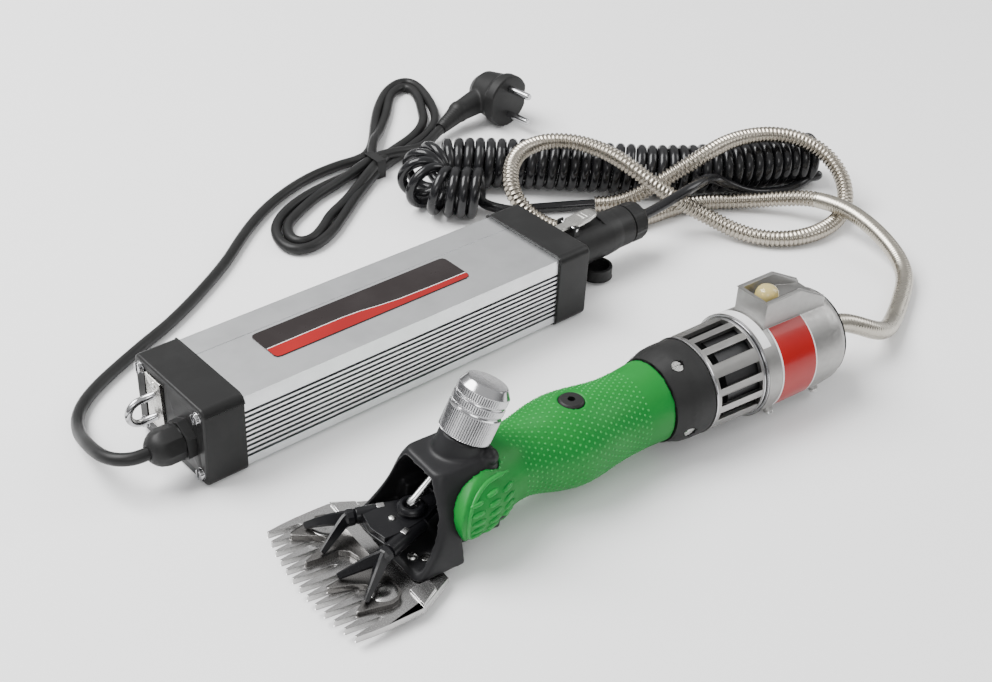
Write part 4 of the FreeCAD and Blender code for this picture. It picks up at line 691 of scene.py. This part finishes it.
def build_tension():
    """The tension knob with its knurled bands and polished grooves, over the pin that presses the yoke."""
    def knurl(angle, height):
        wave = 0.5 - 0.5 * math.cos(68 * angle)
        if 0.6 < height < 12.6:
            return -0.42 * wave
        if 14.9 < height < 17.9 or 19.7 < height < 23.3:
            return -0.34 * wave
        return 0.0
    profile = [(8.35, 0.0), (12.3, 0.0), (12.65, 0.5), (12.72, 0.7), (12.72, 12.5), (12.6, 12.8),
               (12.0, 13.3), (11.8, 13.9), (12.0, 14.4), (12.5, 14.8), (12.55, 15.0), (12.55, 17.8),
               (12.45, 18.0), (11.9, 18.3), (11.75, 18.8), (11.9, 19.3), (12.3, 19.6), (12.35, 19.8),
               (12.35, 23.2), (12.2, 23.6), (11.9, 24.0), (10.3, 26.7), (9.9, 27.1), (9.4, 27.3),
               (5.0, 27.38), (0.05, 27.4)]
    knob = lathe("knob_turned", profile, KNOB, 68 * 6, knurl, 17, closed_ends=False)
    inside = lathe("knob_inside", [(8.35, 0.0), (8.35, 16.0), (0.05, 16.2)], KNOB, 68, closed_ends=False)
    settle_node(joined("knob_knurled", [knob, inside]), "tension_knob")
    cup = [(0.05, 0.9), (2.8, 1.5), (3.8, 3.7), (4.4, 4.05), (5.4, 3.95), (6.3, 3.2), (6.6, 2.5),
           (6.1, 2.1), (6.6, 1.6), (6.5, 0.3), (6.2, 0.02), (0.05, 0.02)]
    ring = lathe("cup_turned", cup, TOOL @ Matrix.Translation((53, 0, 23.5)), 48, closed_ends=False)
    settle_in(ring, "swing_fork", "black_oxide", ("tension_cup",))
    foot = Vector((53, 0, 27.9))
    top = TOOL.inverted() @ at(KNOB, 0, 0, -6.5)
    rod = [(0.6, -0.08), (1.9, -0.04), (2.3, 0.02), (1.9, 0.08), (1.9, 0.94), (2.3, 1.0), (1.0, 1.06)]
    pin = bar("pin_bright", TOOL, foot, top, rod)
    settle_in(pin, "shears", "hard_steel", ("tension_pin",))


# ---------------------------------------------------------------- handpiece: grip

def grip_surface():
    """Rays against the rubber sleeve, in the handpiece frame."""
    source = nodes["grip_sleeve"]
    back = TOOL.inverted() @ source.matrix_world
    points = [back @ v.co for v in source.data.vertices]
    return BVHTree.FromPolygons(points, [tuple(f.vertices) for f in source.data.polygons])


def bump_mesh(name, spots, radius, height):
    """Small round pimples on the sleeve, each at a point of the handpiece frame with its outward way."""
    points, faces = [], []
    around, rings = 8, ((1.0, -0.25), (0.95, 0.25), (0.6, 0.75))
    for spot, out in spots:
        side = out.orthogonal().normalized()
        other = out.cross(side)
        base = len(points)
        for share, level in rings:
            for k in range(around):
                angle = 2 * math.pi * k / around
                rim = side * math.cos(angle) + other * math.sin(angle)
                points.append(at(TOOL, *(spot + rim * radius * share + out * height * level)))
        points.append(at(TOOL, *(spot + out * height)))
        for ring in range(len(rings) - 1):
            for k in range(around):
                a, b = base + ring * around + k, base + ring * around + (k + 1) % around
                faces.append((a, b, b + around, a + around))
        top = base + (len(rings) - 1) * around
        faces += [(top + k, top + (k + 1) % around, base + len(rings) * around) for k in range(around)]
        faces.append(tuple(base + k for k in reversed(range(around))))
    return mesh_piece(name, points, faces)


def grip_dots(surface):
    """Staggered rows of pimples, clear of the oil plug, the cheek's tongue and the sleeve's ends."""
    spots = []
    per_row, pitch = 40, 2.6
    row, x = 0, 84.0
    while x < 182:
        middle = Vector((x, 0, 27))
        for k in range(per_row):
            angle = 2 * math.pi * (k + 0.5 * (row % 2)) / per_row
            out = Vector((0, math.sin(angle), math.cos(angle)))
            hit, normal, _, _ = surface.ray_cast(middle + out * 60, -out)
            if hit is None or (hit - middle).length < 15:
                continue
            round_plug = (hit - Vector((142.5, 0, hit.z))).length < 8.5 and out.z > 0
            on_tongue = x < 104 and hit.z < 44 - (104 - x) * 0.1 and abs(out.y) > 0.5
            edge = x > 180 or (x < 100 and out.z > 0.85)
            if round_plug or edge or on_tongue:
                continue
            spots.append((hit - normal * 0.02 if normal.dot(out) > 0 else hit, out))
        x += pitch
        row += 1
    return bump_mesh("grip_dots", spots, 0.62, 0.34)


def cheek_point(surface, x, z, lift):
    """A point of the near cheek, lift outside it."""
    hit, _, _, _ = surface.ray_cast(Vector((x, -60, z)), Vector((0, 1, 0)))
    y = hit.y if hit else -22.0
    return at(TOOL, x, y - lift, z)


def grip_bars(surface):
    """Three columns of raised bars on the cheek, and the thick rim round its tongue."""
    pieces = []
    columns = ((66.0, 73.5, (20.5, 24.8, 29.1, 33.4, 37.7)),
               (76.0, 83.5, (17.0, 21.3, 25.6, 29.9, 34.2, 38.5)),
               (86.0, 93.5, (18.6, 22.9, 27.2, 31.5, 35.8)))
    sizes = [0.6, 1.2, 1.3, 1.3, 1.2, 0.6]
    for start, end, levels in columns:
        for z in levels:
            spots = [cheek_point(surface, start + (end - start) * k / 5, z, -0.15) for k in range(6)]
            heading = (spots[-1] - spots[0]).normalized()
            pieces.append(skin("bar", [(p, heading) for p in spots], lambda i, a: sizes[i], 10))
    rim = [(90, 45.0), (82, 43.0), (72, 41.2), (66, 36.6), (63.6, 30), (64.0, 24), (67.8, 18.4),
           (73.5, 14.6)]
    guide = spaced(line_of([cheek_point(surface, x, z, -0.2) for x, z in rim], 6), 1.2 * MM)
    pieces.append(skin("rim", guide, lambda i, a: 1.15 if 2 < i < len(guide) - 3 else 0.5, 12))
    return joined("grip_bars", pieces)


def build_grip():
    surface = grip_surface()
    settle_node(softened("grip_sleeve", "grip_moulded", 0.8, 5), "grip_sleeve")
    # The pimples are a paler, glossier green than the sleeve they stand on: painted highlight for the sheen
    # on their tops.
    light = plastic("dot_green_painted_highlight", (0.020, 0.30, 0.055), 0.34, 800, 0.01, coat=0.2)
    settle(grip_dots(surface), "shears", light.material)
    # The bars and rim are a slightly paler green than the sleeve: painted highlight for the sheen along
    # their edges.
    raised = plastic("bar_green_painted_highlight", (0.008, 0.215, 0.032), 0.4, 800, 0.02, coat=0.1)
    settle(grip_bars(surface), "shears", raised.material)
    settle_crisp("oil_plug", "oil_plug_moulded", 0.35)


# ---------------------------------------------------------------- handpiece: motor

def build_motor():
    settle_crisp("motor_collar", "collar_moulded", 0.5)
    settle_crisp("motor_cage", "cage_cast", 0.3)
    settle_crisp("rear_housing", "housing_cast", 0.5)
    settle_crisp("rear_cap", "rear_cap_moulded", 0.4)
    settle_crisp("motor_screws", "motor_screw_heads", 0.2)
    hoops = []
    crown = [(-0.6, -0.7), (0.12, -0.6), (0.3, 0), (0.12, 0.6), (-0.6, 0.7)]
    for x, r in ((216.9, 25.35), (248.4, 26.1), (250.1, 27.2)):
        section = [(r + rise, x + along) for rise, along in crown]
        hoops.append(lathe("hoop", section, ROTOR, 96, closed_ends=False))
    settle(joined("cage_hoops", hoops), "shears", MATERIALS["chrome_trim"])
    red = film("label_red", (0.34, 0.003, 0.003), (0.28, 0.003, 0.003), 0.28, 30, 0.15, 0.3)
    white = film("label_white", (0.80, 0.80, 0.80), (0.74, 0.74, 0.75), 0.35, 40)
    radius = 27.38
    band = arc_sheet("band_red", 260.3, 283.2, 23.5, 121.5, radius, radius + 0.36)
    settle(band, "shears", red.material, ("motor_labels",))
    strips = [arc_sheet("edge", x, x + 0.8, 23.0, 122.0, radius, radius + 0.33) for x in (259.5, 283.2)]
    strips.append(arc_sheet("strip", 250.8, 256.2, -35, 42, radius, radius + 0.3))
    settle(joined("serial_strip", strips), "shears", white.material)


def build_button():
    """A clear rubber dome over the gold-coloured switch beneath it."""
    shell = [(6.2, 62.8), (6.3, 64.2), (6.25, 65.4), (6.0, 66.6), (5.3, 68.2), (4.2, 69.4), (2.6, 70.1),
             (1.2, 70.35), (0.05, 70.4)]
    place = TOOL @ Matrix.Translation((268, 0, 0))
    cover = lathe("button_dome", [(0.05, 62.8)] + shell, place, 48, closed_ends=False)
    clear = Look("button_clear", (0.78, 0.66, 0.28), 0.14, coat=0.4)
    clear.shader.inputs["Transmission Weight"].default_value = 0.45
    clear.shader.inputs["IOR"].default_value = 1.42
    clear.mottled((0.70, 0.58, 0.22), clear.noise(160, 3), 0.4, 0.7, 0.6)
    settle(cover, node_body["switch_button"], clear.material, ("switch_button",))
    cap = [(0.05, 63.0), (3.9, 63.0), (4.2, 64.6), (3.6, 66.3), (2.2, 67.3), (0.05, 67.6)]
    core = lathe("button_core", cap, place, 40, closed_ends=False)
    gold = metal("button_gold", (0.80, 0.62, 0.22), 0.22)
    settle(core, node_body["switch_button"], gold.material)


# ---------------------------------------------------------------- controller box

def build_case():
    def long_corner(edge):
        low = [BENCH.inverted() @ v.co for v in edge.verts]
        along = abs(low[0].x - low[1].x) > 50
        return along and all((p.z > 43 or p.z < 2) and (p.y < 2 or p.y > 61) for p in low)
    settle_crisp("case_body", "case_extruded", 1.6, 5, long_corner)
    # Dark strips at the bottom of each fin slot, on the near and far sides: painted shade for the shadow
    # inside the slots.
    groove_shade_strips = []
    for side_y in (3.42, 60.08):
        for k in range(10):
            sections = [(x, side_y, 7.8 + 2.9 * k, 0.1, 0.76) for x in (22.6, 90, 160, 227.4)]
            groove_shade_strips.append(loft("floor", sections, BENCH, 6.0, 8))
    groove_shade_paint = plastic("groove_painted_shade", (0.02, 0.02, 0.024), 0.5).material
    settle(joined("fin_groove_painted_shade", groove_shade_strips), "shears", groove_shade_paint)
    for node in ("gland_end_cap", "socket_end_cap"):
        settle_crisp(node, f"{node}_moulded", 0.5, 3)
    settle_crisp("cap_screws", "cap_screw_heads", 0.3)
    settle_crisp("panel_socket", "socket_moulded", 0.4)
    settle_crisp("dust_cap", "dust_cap_moulded", 0.4)


def build_case_label():
    place = BENCH @ Matrix.Translation((115.5, 30.3, 43.5))
    back = [(-59.5, -12), (59.5, -12), (61.5, -11.3), (62.5, -9.5), (62.5, 9.5), (61.5, 11.3), (59.5, 12),
            (-59.5, 12), (-61.5, 11.3), (-62.5, 9.5), (-62.5, -9.5), (-61.5, -11.3)]
    settle_node(raised_sheet("label_back", back, 0.0, 0.38, place), "label_plate")
    swoosh = [(-62.2, -3.2), (-62.2, -9.4), (-61.3, -11.1), (-59.4, -11.7), (59.4, -11.7), (61.3, -11.1),
              (62.2, -9.4), (62.2, -7.6), (40, -7.4), (18, -6.8), (4, -5.2), (-6, -3.6), (-16, -3.0),
              (-30, -3.0)]
    red = Look("band_film", (0.30, 0.004, 0.005), 0.30, coat=0.1, specular=0.3)
    red.mottled((0.20, 0.003, 0.004), red.noise(22, 3), 0.35, 0.7, 0.8)
    red.bump(red.noise(300, 2), 0.2, 0.01)
    band = raised_sheet("label_band", list(reversed(swoosh)), 0.38, 0.46, place)
    settle(band, "shears", red.material)
    upper = [*swoosh[7:], (-62.2, -3.2)]
    line = upper + [(x, y + 0.45) for x, y in reversed(upper)]
    white = Look("line_film", (0.75, 0.75, 0.75), 0.3)
    white.mottled((0.66, 0.66, 0.67), white.noise(60, 2), 0.4, 0.7, 0.5)
    settle(raised_sheet("label_line", line, 0.38, 0.47, place), "shears", white.material)


def build_gland_end():
    place = BENCH @ Matrix.Translation((0, 17, 21.5)) @ Matrix.Rotation(math.radians(-90), 4, "Y")

    def flats(angle, height):
        if height > 18.5 or height < 5.4:
            return 0.0
        fold = (angle % (math.pi / 4)) - math.pi / 8
        share = 1.0 if height < 13.5 else max(0.0, (18.5 - height) / 5.0)
        return min(0.0, 9.0 / math.cos(fold) - 9.7) * share
    profile = [(3.6, 5.3), (9.2, 5.3), (9.7, 5.7), (9.75, 6.3), (9.7, 13.2), (9.3, 15.2), (8.6, 17.2),
               (7.4, 18.8), (5.9, 20.2), (4.9, 20.9), (4.2, 21.1), (3.4, 21.0)]
    settle_node(lathe("gland_dome", profile, place, 96, flats, 24, closed_ends=False), "gland_nut")
    settle_crisp("gland_body", "gland_hex", 0.4)
    steel = metal("plate_steel", (0.62, 0.61, 0.58), 0.28)
    plate = crisp("eye_plate", "eye_plate_steel", 0.5)
    settle(plate, "shears", steel.material, ("eye_plate",))
    screw = dome("eye_plate_screw", BENCH, (-0.55, 45.5, 35.4), (-1, 0, 0), 2.2, 1.1)
    settle_in(screw, "shears", "zinc_screws")
    settle_node(smoothed(copied("hanging_eye", "staple_chromed")), "hanging_eye")


def build_connector():
    settle_crisp("plug_shell", "connector_shell", 0.7, 3)
    place = BENCH @ Matrix.Translation((0, 31.75, 23.5)) @ Matrix.Rotation(math.radians(90), 4, "Y")

    def facets(angle, height):
        if 310.6 < height < 319.6:
            fold = (angle % (math.pi / 4)) - math.pi / 8
            return min(0.0, 11.35 / math.cos(fold) - 12.2)
        return 0.0
    profile = [(3.3, 309.0), (11.0, 309.0), (11.0, 310.4), (12.0, 310.5), (12.2, 311.0), (12.2, 319.2),
               (11.6, 320.0), (10.0, 321.6), (8.2, 323.4), (7.6, 324.3), (6.0, 324.5), (3.3, 324.5)]
    settle_node(lathe("connector_nut", profile, place, 96, facets, 24, closed_ends=False), "plug_nut")
    rows = [(250.9, 39.3, 2.6, 1.0), (251.5, 39.3, 3.0, 1.4), (257, 39.35, 3.0, 1.45),
            (262.4, 39.6, 3.1, 1.5), (264.2, 39.9, 4.6, 1.5), (265.6, 40.0, 5.2, 1.5),
            (270, 40.2, 5.3, 1.5), (276, 40.8, 5.1, 1.55), (280.5, 41.2, 4.4, 1.5),
            (283.2, 41.3, 3.2, 1.2), (284.3, 41.2, 1.6, 0.7)]
    lever = loft("latch_lever", [(x, 31.75, z, w, h) for x, z, w, h in rows], BENCH, 5.0, 24)
    ridges = [rounded_block("ridge", (x, 28.6, 41.2 + k * 0.1), (x + 0.9, 34.9, 42.3 + k * 0.1), BENCH, 0.3)
              for k, x in enumerate((272.5, 275.0, 277.5))]
    settle_node(joined("latch_cast", [lever, *ridges]), "plug_latch")
    ears = [rounded_block("ear", (260.8, y, 34.2), (265.2, y + 1.6, 41.1), BENCH, 0.6)
            for y in (24.35, 37.55)]
    lugs = [rounded_block("lug", (249.9, 22.4, z), (260.9, 27.6, z + 1.0), BENCH, 0.35) for z in (1.4, 6.6)]
    settle_in(joined("hinge_lugs", ears + lugs), "shears", "plug_black", ("hinge_pins",))
    rod = [(0.3, 0), (0.9, 0.01), (0.95, 0.03), (0.95, 0.97), (0.9, 0.99), (0.3, 1)]
    latch_pin = bar("latch_pin", BENCH, (263, 24.1, 39.3), (263, 39.4, 39.3), rod, 20)
    stub = [(0.3, 0), (0.95, 0.03), (0.95, 0.97), (0.3, 1)]
    cap_pin = bar("cap_pin", BENCH, (258.5, 25, 1.2), (258.5, 25, 7.9), stub, 20)
    settle_in(joined("hinge_rods", [latch_pin, cap_pin]), "shears", "hard_steel")


# ---------------------------------------------------------------- mains plug

def build_plug():
    """The moulded plug, its pins and the hank's tie. Returns the ribbed strain relief behind the plug."""
    settle_node(softened("mains_plug", "plug_moulded", 0.7, 5), "mains_plug")
    steps = 40
    ribbed = [(6.9 - 2.6 * k / steps - (0.75 if k % 4 in (2, 3) else 0.0), k / steps)
              for k in range(steps + 1)]
    ribs = bar("plug_relief", PLUG, (-19.6, -31.5, -5.8), (-17.3, -50.5, -10.9), ribbed, 32,
               crease_angle=60)
    settle_in(ribs, "shears", "plug_black")
    settle_crisp("plug_pins", "plug_pins_turned", 0.4)
    settle_crisp("mains_tie", "tie_band", 0.25)
    return ribs


# ---------------------------------------------------------------- cords

def hank_points():
    """Two turns of the figure of eight: the outer one on the floor, the inner one crossing above it."""
    points = []
    floor_level, waist = 3.5, 256
    for turn in range(2):
        inward, rise = 9.4 * turn, 6.5 * turn
        for lobe, centre, waist_side in ((UPPER_LOBE, (318, 262), 204), (LOWER_LOBE, (186, 180), 210.4)):
            for place in lobe:
                spot = Vector(place)
                reach = Vector(centre) - spot
                spot += reach.normalized() * min(inward, reach.length * 0.45)
                share = max(0.0, 1.0 - abs(spot.x - waist) / 34.0)
                points.append((spot.x, spot.y, floor_level + rise * min(1.0, share * 1.6)))
            points.append((255, waist_side, floor_level + rise))
    return points


def build_mains(relief):
    """The mains lead from its gland through the hank to the plug, as one length."""
    points = [at(BENCH, *p) for p in MAINS_ROUTE + hank_points() + HANK_LEAD]
    flex = nurbs("mains_flex", points, CORD_RADIUS)
    settle_in(flex, "shears", "cord_black", ("mains_cord", "mains_hank"))
    round(length_of(line_of(points)), 3)


def coil_points():
    """The curly cord's turns about its axis, with wider spacing round the bend."""
    per_turn, pitch, radius = 14, 7.5, COIL_RADIUS - LEAD_RADIUS - 0.1
    control_radius = radius / math.cos(math.pi / per_turn)
    spacing, ahead = 0.25, 40
    stations = spaced(line_of([at(BENCH, *p) for p in COIL_ROUTE], 16), spacing * MM)
    points, angle, index = [], math.pi + 1.0, 0
    while index < len(stations) - ahead:
        place, heading = stations[index]
        bend = heading.angle(stations[index + ahead][1]) / (ahead * spacing)
        side = heading.cross(Vector((0, 0, 1))).normalized()
        up = side.cross(heading)
        loose = 1 + 0.05 * math.sin(index * 0.031) + 0.04 * math.sin(index * 0.0173 + 1)
        wobble = control_radius * (1 + 0.012 * math.sin(index * 0.05))
        points.append(place + (up * math.cos(angle) + side * math.sin(angle)) * wobble * MM)
        step = pitch * loose * (1 + 5.0 * bend) / per_turn
        index += max(1, round(step / spacing))
        angle -= 2 * math.pi / per_turn
    return points


def build_curly():
    """The lead from the connector, the curls and the tail into the conduit are one length of cord."""
    lead, tail = ([at(BENCH, *p) for p in route] for route in (LEAD_ROUTE, TAIL_ROUTE))
    points = lead + coil_points() + tail
    flex = nurbs("curly_flex", points, LEAD_RADIUS, 6)
    settle_in(flex, "shears", "coil_black", ("curly_lead", "curly_cord", "curly_tail"))
    round(length_of(line_of(points, 8)), 3)


def build_conduit():
    """A tube wound from ridged strip, with a smooth sleeve over its last stretch into the handpiece."""
    line = line_of([at(BENCH, *p) for p in CONDUIT_ROUTE], 14)
    stations = spaced(line, 0.46 * MM)
    stations.append((line[-1], stations[-1][1]))
    sleeve_from = int(len(stations) * 0.775)
    ridge = [0.0, -0.10, -0.75, -1.0, -0.75, -0.10]
    hose = skin("conduit_hose", stations,
                lambda i, a: CONDUIT_RADIUS + (ridge[i % 6] if i < sleeve_from else -0.4), 22)
    settle_in(hose, "shears", "conduit_metal", ("conduit",))
    ring = [0.0, 0.0, -0.10, -0.10]
    rib = skin("conduit_sleeve", stations[sleeve_from:-8],
               lambda i, a: CONDUIT_RADIUS + ring[i % 4] - (0.25 if i < 3 else 0), 24)
    sleeve_look = metal("sleeve_metal", (0.46, 0.43, 0.37), 0.28, fleck=0.04, depth=0.003, scale=200)
    settle(rib, "shears", sleeve_look.material)


# ---------------------------------------------------------------- all of it


build_stage()
build_camera()
paint_cad()
build_mains(build_plug())
build_curly()
build_conduit()
build_head()
build_feet()
build_tension()
build_grip()
build_motor()
build_button()
build_case()
build_case_label()
build_gland_end()
build_connector()
